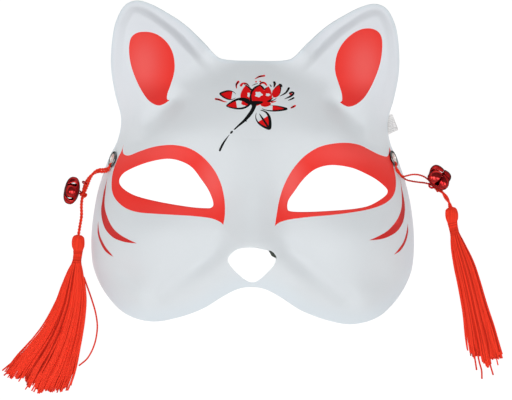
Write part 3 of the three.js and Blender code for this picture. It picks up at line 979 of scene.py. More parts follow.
    def ear_share(self, x: Array, y: Array, inset: float) -> Array:
        """How far each place belongs to an ear's flat plate.

        Args:
            x, y: Places across and up the face.
            inset: How much further in the ear the plate is whole.

        Returns:
            0 on the face and 1 in the ear past the inset.
        """
        across, up = np.abs(x) - self.ear_base[0], y - self.ear_base[1]
        above = across * self.ear_normal[0] + up * self.ear_normal[1]
        start, end = self.ear_blend
        return ease(start, end + 2 * inset, above) * ease(*self.ear_rows, y)

    def flange_drop(self, x: Array, y: Array) -> Array:
        """How far the ear's outer strip lies under the plate, with a shallow groove at the step's foot.

        Args:
            x, y: Places across and up the face.

        Returns:
            The drop at each place.
        """
        inner = 1 - ease(*self.flange_inner, np.abs(x))
        present = ease(*self.flange_rows, y) * ease(*self.flange_columns, np.abs(x))
        edge = distance_to(self.outline, x, y)
        start = mix(*self.flange, inner)
        full_step = mix(self.outer_step, self.inner_step, inner)
        step = full_step * (1 - ease(start, start + self.flange_slope, edge))
        depth, offset, width = self.groove
        groove = depth * np.exp(-(((edge - start - offset) / width) ** 2))
        return present * (step + groove)

    def normal(self, x: Array, y: Array) -> Array:
        """Outward normal of the face, from its slopes over a tenth of a millimetre.

        Args:
            x, y: Places across and up the face.

        Returns:
            One direction for each place.
        """
        d = self.slope_reach
        gx = (self.height(x + d, y) - self.height(x - d, y)) / (2 * d)
        gy = (self.height(x, y + d) - self.height(x, y - d)) / (2 * d)
        return unit(np.stack([-gx, -gy, np.ones_like(gx)], -1))

    def point(self, x: float, y: float) -> Array:
        """Place on the outer face over one (x, y)."""
        return np.array([x, y, float(self.height(np.array([x]), np.array([y]))[0])])

    def cut_outline(self) -> Array:
        """The outline, drawn in along the steep sides to where the face meets the level cut.

        Returns:
            The ring's places, found by halving the gap in x again and again.
        """
        ring = self.outline.copy()
        x, y = ring.T
        beside = np.abs(np.abs(x) - self.half_width(y)) < 0.5
        floor = self.level_cut(y)
        low, high = np.full(len(ring), 0.9), np.ones(len(ring))
        for _ in range(self.cut_halvings):
            middle = (low + high) / 2
            above = self.height(x * middle, y) >= floor
            low, high = np.where(above, middle, low), np.where(above, high, middle)
        ring[:, 0] = np.where(beside, x * low, x)
        return ring


def brush(points: Points, widths: tuple[float, ...]) -> Array:
    """Outline of one brush stroke along a smooth path, with round ends.

    Args:
        points: Places the stroke passes through.
        widths: Full widths at equal shares of the stroke's length, joined by straight changes.

    Returns:
        The stroke's closed outline.
    """
    line = through(points, 10, closed=False)
    line = spread(line, max(6, int(run_of(line)[-1] / 0.6) + 1))
    t = np.linspace(0, 1, len(line))
    half = np.interp(t, np.linspace(0, 1, len(widths)), widths) / 2
    way = unit(np.gradient(line, axis=0))
    side = np.stack([-way[:, 1], way[:, 0]], 1)
    off = side * np.maximum(half, 0.05)[:, None]
    cap = [line[k] + way[k] * half[k] * sign * 0.8 for k, sign in ((-1, 1), (0, -1))]
    return np.vstack([line + off, cap[0][None], (line - off)[::-1], cap[1][None]])


def petal(base: Pair, tip: Pair, half: float, fullness: float = 0.75) -> Array:
    """Closed petal outline: half width sin(pi t^fullness)^0.8 on both sides of the line to its tip.

    Args:
        base: The petal's foot.
        tip: Its tip.
        half: Its greatest half width.
        fullness: Under 1 the widest place lies nearer to the foot.

    Returns:
        The outline's places.
    """
    a, b = np.array(base, float), np.array(tip, float)
    t = 0.5 - 0.5 * np.cos(np.linspace(0, math.pi, 15))
    line = a + (b - a) * t[:, None]
    way = unit(b - a)
    off = np.array([-way[1], way[0]]) * (half * np.sin(math.pi * t**fullness).clip(0) ** 0.8)[:, None]
    return np.vstack([line + off, (line - off)[1:-1][::-1]])


@dataclass(frozen=True)
class SidePetal:
    """An outlined side petal: its middle line, half width, the painted share from the tip and line widths."""

    base: Pair
    tip: Pair
    half: float
    painted: float
    upper_line: tuple[float, ...]
    lower_line: tuple[float, ...]


@dataclass
class LotusPainting:
    """Brush-painted lotus: red bulb petals, outlined side petals, a black cup and stem."""

    heart: Pair = (-0.7, 32.3)
    bulbs: tuple[tuple[Pair, Pair, float], ...] = (
        ((-3.2, -3.4), (-3.9, 7.9), 3.1),
        ((2.0, -3.0), (3.3, 8.2), 3.8),
        ((6.0, -3.6), (7.8, 7.6), 2.9),
    )
    glints: tuple[tuple[Pair, float, float], ...] = (
        ((2.8, 3.1), 1.85, 1.45),
        ((-2.3, 2.8), 0.75, 1.25),
        ((7.6, 3.0), 1.15, 0.75),
    )
    side_petals: tuple[SidePetal, ...] = (
        SidePetal((-8.6, 2.0), (-17.2, 3.2), 2.3, 0.72, (0.2, 0.7, 0.9), (0.1, 0.8, 1.0)),
        SidePetal((-1.4, -1.0), (-13.7, -3.3), 2.6, 0.42, (1.1, 0.95, 0.5), (1.0, 1.2, 0.6)),
        SidePetal((4.0, -3.8), (17.4, -4.4), 1.5, 0.55, (0.1, 0.2, 1.1), (0.3, 0.8, 1.1)),
        SidePetal((2.6, -5.6), (8.6, -14.9), 3.3, 0.55, (0.4, 1.4, 1.6), (0.2, 0.9, 1.3)),
        SidePetal((10.6, 1.6), (13.8, 8.6), 2.0, 1.0, (0.1, 0.1, 0.6), (0.1, 0.3, 1.0)),
    )
    red_strokes: tuple[Stroke, ...] = (
        (((4.4, -2.2), (6.6, -2.4), (8.7, -1.8)), (1.84, 2.18, 1.61)),
        (((-5.6, -1.6), (-4.6, -2.0), (-3.4, -1.9)), (1.49, 1.72, 1.15)),
        (((9.4, -0.9), (10.8, -0.7), (12.0, -0.3)), (0.92, 0.69, 0.23)),
        (((-19.5, 0.4), (-17.4, 0.0), (-15.2, -0.9), (-13.4, -1.2)), (1.03, 1.03, 0.8, 0.23)),
        (((0.8, 11.5), (2.9, 12.8), (5.8, 13.4)), (0.34, 1.03, 1.03)),
        (((-8.7, 6.3), (-8.8, 8.3), (-7.7, 10.0)), (0.46, 1.03, 1.26)),
        (((-6.5, 7.7), (-5.6, 8.9), (-3.8, 8.9), (-2.2, 7.7)), (1.38, 0.92, 0.92, 0.34)),
        (((3.4, 8.7), (4.4, 9.5), (5.9, 9.3), (6.9, 8.1)), (0.92, 1.15, 1.03, 0.8)),
        (((1.2, 9.9), (1.6, 10.1)), (0.92, 0.8)),
        (((3.3, 10.2), (3.8, 10.2)), (0.8, 0.8)),
        (((11.5, 9.4), (11.3, 8.4), (10.8, 7.2)), (0.69, 0.69, 0.23)),
        (((19.0, 3.4), (19.9, 3.7)), (0.92, 0.69)),
        (((19.5, -3.9), (20.7, -3.2), (21.8, -2.6)), (0.69, 1.15, 0.92)),
    )
    black_strokes: tuple[Stroke, ...] = (
        (((-4.6, 8.4), (-2.3, 6.9), (-0.6, 5.0)), (0.39, 0.78, 1.17)),
        (((-0.6, 5.0), (1.0, 6.9), (3.4, 8.2)), (1.17, 1.04, 0.65)),
        (((3.4, 8.2), (4.8, 7.0), (5.7, 5.9), (6.8, 6.9)), (0.65, 0.91, 0.91, 0.26)),
        (((-0.6, 5.2), (-1.3, 2.4), (-1.1, -0.8)), (1.04, 0.85, 1.17)),
        (
            ((-8.2, 0.2), (-5.0, -0.1), (-2.6, -1.1), (0.6, -1.5), (4.8, -1.0)),
            (0.52, 1.17, 2.08, 2.21, 1.04),
        ),
        (((7.6, -0.6), (9.0, 0.3), (10.4, 1.6)), (0.91, 0.65, 0.26)),
        (((8.4, -0.7), (10.2, 0.0), (11.9, 1.1)), (0.65, 0.52, 0.26)),
        (((0.2, -1.6), (0.5, -3.2), (-0.5, -5.8), (-2.2, -8.4)), (2.99, 1.95, 1.89, 1.82)),
        (((-2.0, -8.1), (-4.2, -10.7), (-7.0, -13.3), (-9.5, -15.6)), (1.89, 1.43, 1.04, 0.59)),
        (((-4.0, -10.4), (-3.3, -11.2)), (1.17, 0.52)),
        (((-10.4, -16.5), (-11.3, -17.6)), (0.91, 1.17, 0.65)),
        (((-11.9, -18.3), (-14.1, -21.4), (-15.7, -24.2), (-16.7, -26.5)), (0.2, 0.78, 1.1, 1.1)),
        (((3.4, -7.3), (5.2, -10.0), (7.0, -12.6), (8.2, -14.4)), (0.39, 1.04, 1.04, 0.91)),
        (((-19.2, 0.3), (-17.4, -0.1), (-15.6, -0.8)), (0.52, 0.52, 0.13)),
        (((1.6, 12.1), (3.2, 12.9), (4.8, 13.2)), (0.26, 0.65, 0.39)),
        (((-9.0, 7.0), (-8.8, 8.6), (-8.0, 9.6)), (0.39, 0.78, 0.52)),
        (((-4.6, 9.2), (-3.2, 8.6), (-2.0, 7.4)), (0.26, 0.59, 0.26)),
        (((-0.6, 7.9), (0.8, 8.6), (2.2, 9.0)), (0.2, 0.45, 0.33)),
        (((3.3, 8.9), (4.1, 9.6), (5.2, 9.7)), (0.52, 0.65, 0.26)),
        (((8.6, 8.5), (9.3, 7.5)), (0.45, 0.65)),
        (((10.7, 10.0), (11.1, 9.0), (10.6, 7.0)), (1.3, 1.17, 0.33)),
        (((13.4, 8.8), (14.4, 8.4), (14.9, 7.3)), (0.78, 1.04, 0.39)),
        (((18.5, 6.9), (16.9, 4.3), (13.8, 2.3)), (1.17, 0.91, 0.26)),
        (((18.7, 3.9), (20.0, 4.6), (20.9, 4.0), (19.2, 2.3), (16.2, 0.9)), (0.91, 1.04, 1.17, 0.78, 0.26)),
        (((21.0, 1.6), (19.6, 0.8), (18.0, 0.1)), (0.91, 0.78, 0.26)),
        (((19.9, -3.7), (20.8, -3.1)), (0.52, 0.65)),
    )

    def placed(self, ring: Array) -> Array:
        """Moves an outline from the flower's heart to its place on the face."""
        return ring + np.array(self.heart)

    def painted(self, item: SidePetal) -> Array:
        """The painted part of a side petal, from its tip back to a straight edge across it.

        Args:
            item: The petal.

        Returns:
            Its outline.
        """
        whole = petal(item.base, item.tip, item.half)
        way = unit(np.array(item.tip, float) - np.array(item.base))
        start = np.array(item.tip) + (np.array(item.base) - np.array(item.tip)) * item.painted
        short = np.minimum((whole - start) @ way, 0)
        return whole - short[:, None] * way

    def red(self) -> list[Array]:
        """Outlines of the red areas: the bulbs whole, the side petals' tips and the red strokes.

        Returns:
            The outlines on the face.
        """
        rings = [petal(base, tip, half, 0.92) for base, tip, half in self.bulbs]
        rings += [self.painted(item) for item in self.side_petals]
        rings += [brush(*stroke) for stroke in self.red_strokes]
        return [self.placed(ring) for ring in rings]

    def bare(self) -> list[Array]:
        """Outlines of the bare glints on the bulbs, round with a few notches.

        Returns:
            The outlines on the face.
        """
        angle = turns(20)
        wobble = 1 + 0.16 * np.cos(5 * angle + 0.6) + 0.10 * np.cos(3 * angle)
        return [
            self.placed(np.stack([x + a * wobble * np.cos(angle), y + b * wobble * np.sin(angle)], 1))
            for (x, y), a, b in self.glints
        ]

    def black(self) -> list[Array]:
        """Outlines of the black strokes and of the lines along the side petals' edges.

        Returns:
            The outlines on the face.
        """
        rings = [brush(*stroke) for stroke in self.black_strokes]
        for item in self.side_petals:
            whole = petal(item.base, item.tip, item.half)
            rings.append(brush(tuple(map(tuple, whole[2:15])), item.upper_line))
            rings.append(brush(tuple(map(tuple, whole[14:27][::-1])), item.lower_line))
        return [self.placed(ring) for ring in rings]


@dataclass
class FacePainting:
    """Outlines of the flat paint: ears, bands round the eyes, whiskers, the flower and a dark fleck, with
    painted highlights and painted shade on the red.
    """

    ears: tuple[Points, ...] = (
        ((-44.3, 32.2), (-45.6, 32.9), (-45.3, 35.9), (-43.8, 40.1), (-42.3, 45.3), (-41.8, 50.4),
         (-42.8, 56.4), (-45.4, 61.5), (-49.3, 65.3), (-53.7, 67.4), (-58.4, 67.9), (-62.3, 67.2),
         (-65.2, 64.5), (-66.1, 59.0), (-65.2, 51.4), (-62.5, 43.7), (-58.9, 36.8), (-54.9, 31.7),
         (-50.5, 29.5), (-47.1, 30.3)),
        ((44.5, 32.4), (45.6, 33.4), (45.3, 37.1), (43.6, 42.2), (42.0, 47.3), (41.7, 51.6), (42.7, 57.6),
         (45.7, 63.4), (50.1, 67.9), (54.8, 70.6), (59.3, 71.4), (63.4, 70.3), (65.9, 67.2), (66.5, 61.7),
         (65.5, 53.2), (62.2, 43.7), (57.9, 35.9), (53.6, 31.8), (49.5, 30.2), (46.7, 30.9)),
    )
    bands: tuple[tuple[Points, ...], ...] = (
        (
            ((-70.3, 9.8), (-70.6, 7.1), (-69.7, 4.5), (-66.3, 3.6), (-60.5, 5.4), (-53.0, 7.5),
             (-46.7, 8.4), (-40.7, 8.5), (-33.6, 7.1), (-26.7, 3.1), (-20.6, -3.4), (-16.7, -10.8),
             (-14.7, -19.0), (-14.3, -26.5)),
            ((-15.0, -32.1), (-16.8, -30.6), (-21.6, -28.8), (-30.8, -27.8), (-41.8, -27.3),
             (-52.1, -26.9), (-60.3, -26.3), (-67.0, -24.4), (-72.4, -20.8), (-75.6, -16.4),
             (-76.6, -11.0), (-76.0, -4.4), (-73.7, 1.9), (-71.4, 6.3)),
        ),
        (
            ((74.1, 10.9), (73.5, 8.5), (72.7, 6.2), (71.0, 5.2), (65.8, 6.3), (60.4, 8.4), (55.7, 10.2),
             (50.6, 11.0), (44.8, 10.9), (37.9, 9.8), (31.9, 7.7), (25.2, 2.9), (19.5, -4.1),
             (15.6, -11.8), (13.2, -20.0)),
            ((11.3, -32.3), (13.8, -30.4), (19.2, -28.8), (29.2, -27.4), (39.3, -26.4), (48.7, -25.2),
             (58.5, -23.6), (66.9, -21.3), (72.6, -18.3), (76.1, -14.0), (77.2, -7.4), (76.0, -0.6),
             (74.7, 5.0), (74.7, 8.4)),
        ),
    )
    whiskers: tuple[tuple[Points, ...], ...] = (
        (
            ((-79.8, -8.2), (-80.6, -12.1), (-81.5, -15.6), (-82.2, -20.5), (-82.7, -25.7),
             (-81.7, -31.1), (-79.0, -36.3), (-74.4, -40.0), (-69.4, -41.7), (-64.7, -42.4)),
            ((-60.0, -42.5), (-64.8, -40.7), (-70.2, -38.2), (-74.5, -34.9), (-77.8, -30.2),
             (-80.0, -25.1), (-80.6, -20.3), (-80.3, -14.8)),
        ),
        (
            ((-84.5, -31.8), (-84.7, -36.9), (-84.0, -40.3), (-82.4, -43.7), (-80.0, -47.1),
             (-77.2, -49.2)),
            ((-74.0, -50.6), (-76.4, -48.2), (-78.9, -45.7), (-81.2, -42.6), (-82.9, -39.6),
             (-83.8, -36.4)),
        ),
        (
            ((80.2, -6.2), (81.0, -11.4), (81.9, -15.8), (82.7, -20.7), (82.5, -25.2), (80.9, -30.6),
             (76.8, -35.2), (70.6, -38.0), (65.2, -39.0)),
            ((60.5, -39.2), (65.5, -37.3), (71.2, -34.4), (76.2, -29.9), (79.3, -25.2), (80.6, -20.4),
             (80.7, -14.6)),
        ),
        (
            ((84.5, -30.6), (84.8, -34.9), (83.8, -39.1), (81.8, -42.9), (79.1, -45.7)),
            ((75.6, -47.4), (78.9, -43.9), (81.5, -40.6), (83.2, -36.7), (84.1, -33.4)),
        ),
    )
    fleck: Points = (
        (8.3, -44.6), (9.5, -44.9), (10.9, -45.9), (12.1, -47.5), (12.4, -48.8), (11.0, -48.9),
        (9.4, -47.8), (8.3, -45.8),
    )
    # Painted highlights: centre, radii and strength of each pale spot on the red.
    painted_highlights: tuple[tuple[float, float, float, float, float], ...] = (
        (-58.0, 51.0, 10.0, 17.0, 1.0), (57.0, 52.0, 10.0, 16.0, 1.0), (-47.0, 5.0, 22.0, 8.0, 0.55),
        (46.0, 6.0, 22.0, 8.0, 0.55), (-21.0, -9.0, 8.0, 14.0, 0.85), (19.0, -10.0, 8.0, 14.0, 0.95),
        (-40.0, -25.0, 22.0, 6.0, 0.35), (40.0, -25.0, 22.0, 6.0, 0.35),
    )
    # Strengths of the painted shade on the red.
    shade_low_ear: float = 0.45
    shade_sides: float = 0.95
    shade_whiskers: float = 0.75
    low_ear_down: Pair = (-46.0, -32.0)
    ear_foot: Pair = (24.0, 30.0)
    side_columns: Pair = (75.5, 81.0)
    side_down: Pair = (-2.0, 8.0)
    whisker_columns: Pair = (50.0, 60.0)
    whisker_down: Pair = (29.0, 32.0)
    flower: LotusPainting = field(default_factory=LotusPainting)

    def flat_red(self) -> list[Array]:
        """Outlines of the ears, eye bands and whiskers."""
        shapes = [(ear,) for ear in self.ears] + list(self.bands + self.whiskers)
        return [cornered_ring(arcs, 6) for arcs in shapes]

    def depth(self, x: Array, y: Array) -> Array:
        """Painted shade on the red: darker on the cheeks' sides, low whiskers and the ear patches' lower
        ends.

        Args:
            x, y: Places across and up the face.

        Returns:
            0 for the plain red to 1 for the deepest.
        """
        out, down = np.abs(x), -y
        low_ear = self.shade_low_ear * ease(*self.low_ear_down, down) * ease(*self.ear_foot, y)
        sides = self.shade_sides * ease(*self.side_columns, out) * ease(*self.side_down, down)
        whiskers = self.shade_whiskers * ease(*self.whisker_down, down) * ease(*self.whisker_columns, out)
        return np.maximum(np.maximum(sides, whiskers), low_ear)

    def glow(self, x: Array, y: Array) -> Array:
        """Painted highlights on the red: soft round pale spots, the strongest of them at each place.

        Args:
            x, y: Places across and up the face.

        Returns:
            0 for the plain red to 1 for the palest.
        """
        spots = [
            strength * np.exp(-(((x - cx) / rx) ** 2) - ((y - cy) / ry) ** 2)
            for cx, cy, rx, ry, strength in self.painted_highlights
        ]
        return np.max(spots, axis=0)


@dataclass
class FoxShell:
    """The moulded shell with its holes, and the paint on its face."""

    form: FaceForm = field(default_factory=FaceForm)
    painting: FacePainting = field(default_factory=FacePainting)
    wall: float = 1.5
    spacing: float = 1.05
    edge_crowding: float = 0.3
    shoulder: float = 0.55
    edge_drop: float = 0.28
    edge_bulge: float = 0.12
    upright_reach: Pair = (0.5, 7.0)
    least_rise: float = 0.2
    edge_softness: float = 0.9
    # Band of painted light along the outline, and its share on the rim strip.
    edge_painted_light_widths: Triple = (0.4, 2.6, 12.0)
    edge_painted_light_down: Pair = (10.0, 30.0)
    rim_painted_light: float = 0.3
    ear_painted_light_inset: float = 8.0
    grid_width: float = 180.0
    grid_half_length: float = 86.0
    eyelets: dict[Side, Pair] = field(
        default_factory=lambda: {Side.LEFT: (-76.6, 1.8), Side.RIGHT: (75.9, 4.4)}
    )
    eyelet_hole: float = 3.3
    eyelet_sides: int = 28

    def eyelet_ring(self, side: Side) -> Array:
        """Front view of the round hole that an eyelet sits in, a circle in the wall's own plane.

        Args:
            side: The eyelet's side.

        Returns:
            The ring's places.
        """
        x, y = self.eyelets[side]
        frame = facing(self.form.normal(np.array([x]), np.array([y]))[0])
        angle = turns(self.eyelet_sides)
        ring = np.outer(np.cos(angle), frame[:, 0]) + np.outer(np.sin(angle), frame[:, 1])
        return np.array([x, y]) + self.eyelet_hole * ring[:, :2]

    def rings(self) -> Form:
        """The outline, and the holes cut in it.

        Returns:
            The outline, and the eyes, nose and eyelet holes.
        """
        holes = [through(ring, 8, closed=True) for ring in (self.form.left_eye, self.form.right_eye)]
        holes.append(through(self.form.nose_hole, 8, closed=True))
        holes += [self.eyelet_ring(side) for side in Side]
        return self.form.cut_outline(), holes

    def loose_points(self, kept: Array) -> Array:
        """Grid over the face, crowded towards the sides, without points close to the kept ones.

        Args:
            kept: Places of edges and outlines.

        Returns:
            The grid's places.
        """
        rows = np.arange(-self.grid_half_length, self.grid_half_length, self.spacing)
        u = np.linspace(-1, 1, int(self.grid_width / self.spacing))
        s = u * (1 + self.edge_crowding) - self.edge_crowding * u**3
        y = np.repeat(rows, len(u))
        x = (self.form.half_width(rows)[:, None] * s).ravel()
        cell, middle = 0.5, 250
        seen = np.zeros((2 * middle, 2 * middle), bool)
        place = np.round(kept / cell).astype(int) + middle
        for dx in (-1, 0, 1):
            for dy in (-1, 0, 1):
                seen[place[:, 0] + dx, place[:, 1] + dy] = True
        at = np.round(np.stack([x, y], 1) / cell).astype(int) + middle
        return np.stack([x, y], 1)[~seen[at[:, 0], at[:, 1]]]

    def triangles(self) -> tuple[Array, Array]:
        """Front-view triangles whose sides follow every edge, hole and paint outline.

        Returns:
            The places, and three indices for each triangle.
        """
        outline, holes = self.rings()
        flower = self.painting.flower
        lines = [outline, *holes, *self.painting.flat_red(), np.array(self.painting.fleck)]
        lines += flower.red() + flower.black() + flower.bare()
        edges, start = [], 0
        for ring in lines:
            index = np.arange(start, start + len(ring))
            edges.append(np.stack([index, np.roll(index, -1)], 1))
            start += len(ring)
        fixed = np.vstack(lines)
        rows = [self.shifted(outline, -1)] + [self.shifted(ring, 1) for ring in holes[:3]]
        fixed_and_rows = np.vstack([fixed, *rows])
        places = np.vstack([fixed_and_rows, self.loose_points(fixed_and_rows)])
        found = delaunay_2d_cdt(
            [Vector(p) for p in places.tolist()], np.vstack(edges).tolist(), [], 0, 1e-5, False
        )
        xy = np.array([tuple(v) for v in found[0]])
        corners = np.array([list(f) for f in found[2] if len(f) == 3])
        middle = xy[corners].mean(1)
        keep = inside(outline, middle)
        for ring in holes:
            keep &= ~inside(ring, middle)
        corners = corners[keep]
        a, b, c = (xy[corners[:, k]] for k in range(3))
        turn = (b[:, 0] - a[:, 0]) * (c[:, 1] - a[:, 1]) - (b[:, 1] - a[:, 1]) * (c[:, 0] - a[:, 0])
        corners = np.where((turn < 0)[:, None], corners[:, ::-1], corners)
        used, corners = np.unique(corners, return_inverse=True)
        return xy[used], corners.reshape(-1, 3)

    def shifted(self, ring: Array, way: int) -> Array:
        """Row of points a shoulder's width to the outside (1) or inside (-1) of a ring.

        Args:
            ring: The ring.
            way: 1 or -1.

        Returns:
            The row's places.
        """
        ahead = unit(np.roll(ring, -1, 0) - np.roll(ring, 1, 0))
        out = np.stack([ahead[:, 1], -ahead[:, 0]], 1)
        x, y = ring.T
        area = np.sum(x * np.roll(y, -1) - np.roll(x, -1) * y)
        return ring + out * (way * math.copysign(self.shoulder, area))

    def build(self) -> Piece:
        """Outer skin, inner skin a wall's thickness under it, and a rounded strip along every edge.

        Returns:
            The shell, with the paint kept as numbers on its mesh.
        """
        xy, corners = self.triangles()
        count = len(xy)
        x, y = xy.T
        normal = self.form.normal(x, y)
        outer = np.stack([x, y, np.maximum(self.form.height(x, y), self.form.level_cut(y))], 1)
        cut = np.min([distance_to(ring, x, y) for ring in self.rings()[1][:3]], axis=0)
        upright = (1 - ease(*self.upright_reach, cut))[:, None]
        down = UP / np.maximum(normal[:, 2:], self.least_rise)
        inner = outer - self.wall * mix(normal, down, upright)
        inner[:, 2] = np.maximum(inner[:, 2], self.form.level_cut(inner[:, 1]))
        sides = np.concatenate([corners[:, [0, 1]], corners[:, [1, 2]], corners[:, [2, 0]]])
        owner = np.tile(np.arange(len(corners)), 3)
        code = np.sort(sides, 1) @ np.array([count, 1])
        _, first, times = np.unique(code, return_index=True, return_counts=True)
        edge = sides[first[times == 1]]
        edge_owner = owner[first[times == 1]]
        rim = np.unique(edge)
        place_of = np.full(count, -1)
        place_of[rim] = np.arange(len(rim))
        ahead = np.zeros((count, 3))
        np.add.at(ahead, edge[:, 0], outer[edge[:, 1]] - outer[edge[:, 0]])
        np.add.at(ahead, edge[:, 1], outer[edge[:, 1]] - outer[edge[:, 0]])
        away = unit(np.cross(unit(ahead[rim]), normal[rim]))
        middle = (outer[rim] + inner[rim]) / 2 + self.edge_bulge * away
        middle[:, 2] = np.maximum(middle[:, 2], self.form.level_cut(middle[:, 1]))
        outer[rim] -= self.edge_drop * normal[rim]
        outer[rim, 2] = np.maximum(outer[rim, 2], self.form.level_cut(outer[rim, 1]))
        points = np.vstack([outer, inner, middle])
        a, b = edge.T
        ma, mb = 2 * count + place_of[a], 2 * count + place_of[b]
        upper = np.stack([a, ma, mb, b], 1)
        lower = np.stack([ma, a + count, b + count, mb], 1)
        faces = [corners, corners[:, ::-1] + count, upper, lower]
        shell = make_piece("painted_fox_shell", points, faces)
        soft = self.edge_softness
        normals = np.vstack([normal, -normal, away])
        normals[rim] = unit(normal[rim] + soft * away)
        normals[rim + count] = unit(soft * away - normal[rim])
        shell.data.normals_split_custom_set_from_vertices(normals.tolist())
        self.paint(shell, xy, corners, edge_owner)
        return shell

    def paint(self, shell: Piece, xy: Array, corners: Array, edge_owner: Array) -> None:
        """Keeps on the mesh which paint covers each face, and over the points the painted highlights and
        painted shade on the red and the painted light on the white.

        Args:
            shell: The shell.
            xy: Front view of the outer skin's points.
            corners: The outer skin's triangles.
            edge_owner: The triangle beside each side of the edge strip.
        """
        middle = xy[corners].mean(1)
        flower = self.painting.flower
        areas = {
            "paint_red": (self.painting.flat_red(), []),
            "paint_brush_red": (flower.red(), flower.bare()),
            "paint_black": (flower.black(), []),
            "paint_fleck": ([np.array(self.painting.fleck)], []),
        }
        bare = np.zeros(len(corners))
        for name, (rings, holes) in areas.items():
            covered = np.zeros(len(corners), bool)
            for ring in rings:
                covered |= inside(ring, middle)
            for ring in holes:
                covered &= ~inside(ring, middle)
            upper = covered[edge_owner].astype(float)
            strips = [np.repeat(upper, 4), np.repeat(0 * upper, 4)]
            values = [np.repeat(covered, 3), np.repeat(bare, 3), *strips]
            note_values(shell, name, np.concatenate(values), "CORNER")
        x, y = xy.T
        # Painted highlights on the red.
        glow = self.painting.glow(x, y)
        # Painted light: a lighter, bluer white near the outline, in a band that widens low on the flanks.
        start, narrow, wide = self.edge_painted_light_widths
        end = mix(narrow, wide, ease(*self.edge_painted_light_down, -y))
        edge = 1 - ease(start, end, distance_to(self.form.outline, x, y))
        rim_count = len(shell.data.vertices) - 2 * len(xy)
        rest = np.zeros(len(xy) + rim_count)
        note_values(shell, "red_painted_highlight", np.concatenate([glow, rest]))
        # Painted shade on the red.
        note_values(shell, "red_painted_shade", np.concatenate([self.painting.depth(x, y), rest]))
        note_values(shell, "edge_painted_light", np.concatenate([edge, rest + self.rim_painted_light]))
        # Painted light on the ear plates: how far each point takes the lighter, bluer white.
        ear = self.form.ear_share(x, y, self.ear_painted_light_inset)
        note_values(shell, "ear_painted_light", np.concatenate([ear, rest]))

    def dress(self, shell: Piece) -> None:
        """Puts on the finish and stands the piece in for its solid.

        Args:
            shell: The shell.
        """
        shell.data.materials.append(PaintedShellFinish().make())
        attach(shell, "root")
        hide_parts("mask_shell")


@dataclass
class Eyelet:
    """Pressed nickel eyelet: rolled rim outside, barrel through the wall, flat curl inside."""

    side: Side
    shell: FoxShell
    bore: float = 3.0
    barrel: float = 3.35
    rim: float = 4.5
    washer: float = 4.4
    under: float = 0.45
    face: float = 1.1
    back: float = -2.7
    sheet: float = 0.6
    bevel: float = 0.15
    roll_power: float = 0.7
    sides: int = 48
    painted_highlight_fade: float = 0.25

    def outline(self) -> Array:
        """(radius, height) outline: a half-round roll on top, straight barrel, thin curl behind.

        Returns:
            The outline's corners.
        """
        turn = np.linspace(0, math.pi, 13)
        middle, half = (self.bore + self.rim) / 2, (self.rim - self.bore) / 2
        rise = (self.face - self.under) * np.sin(turn) ** self.roll_power
        roll = np.stack([middle + half * np.cos(turn), self.under + rise], 1)
        rear = self.back + self.sheet
        inner = (self.bore, self.back)
        curl = (self.washer, self.back + self.bevel), (self.washer, rear)
        barrel = (self.barrel, rear), (self.barrel, self.under)
        return np.vstack([roll, inner, *curl, *barrel])

    def build(self) -> Piece:
        """The eyelet's solid, turned to stand square in the temple.

        Returns:
            The piece.
        """
        points, faces = turned(self.outline(), self.sides)
        x, y = self.shell.eyelets[self.side]
        frame = facing(self.shell.form.normal(np.array([x]), np.array([y]))[0])
        placed = points @ frame.T + self.shell.form.point(x, y)
        piece = make_piece(f"nickel_eyelet_{self.side.value}", placed, faces)
        radius = np.linalg.norm(points[:, :2], axis=1)
        # Painted highlight: the bore takes a much lighter metal colour.
        note_values(piece, "painted_highlight", 1 - ease(self.bore, self.bore + self.painted_highlight_fade, radius))
        return piece

    def dress(self, piece: Piece, finish: Material) -> None:
        """Puts on the finish and stands the piece in for its solid.

        Args:
            piece: The eyelet.
            finish: Its material.
        """
        piece.data.materials.append(finish)
        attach(piece, "root")
        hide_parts(f"eyelet_{self.side.value}")


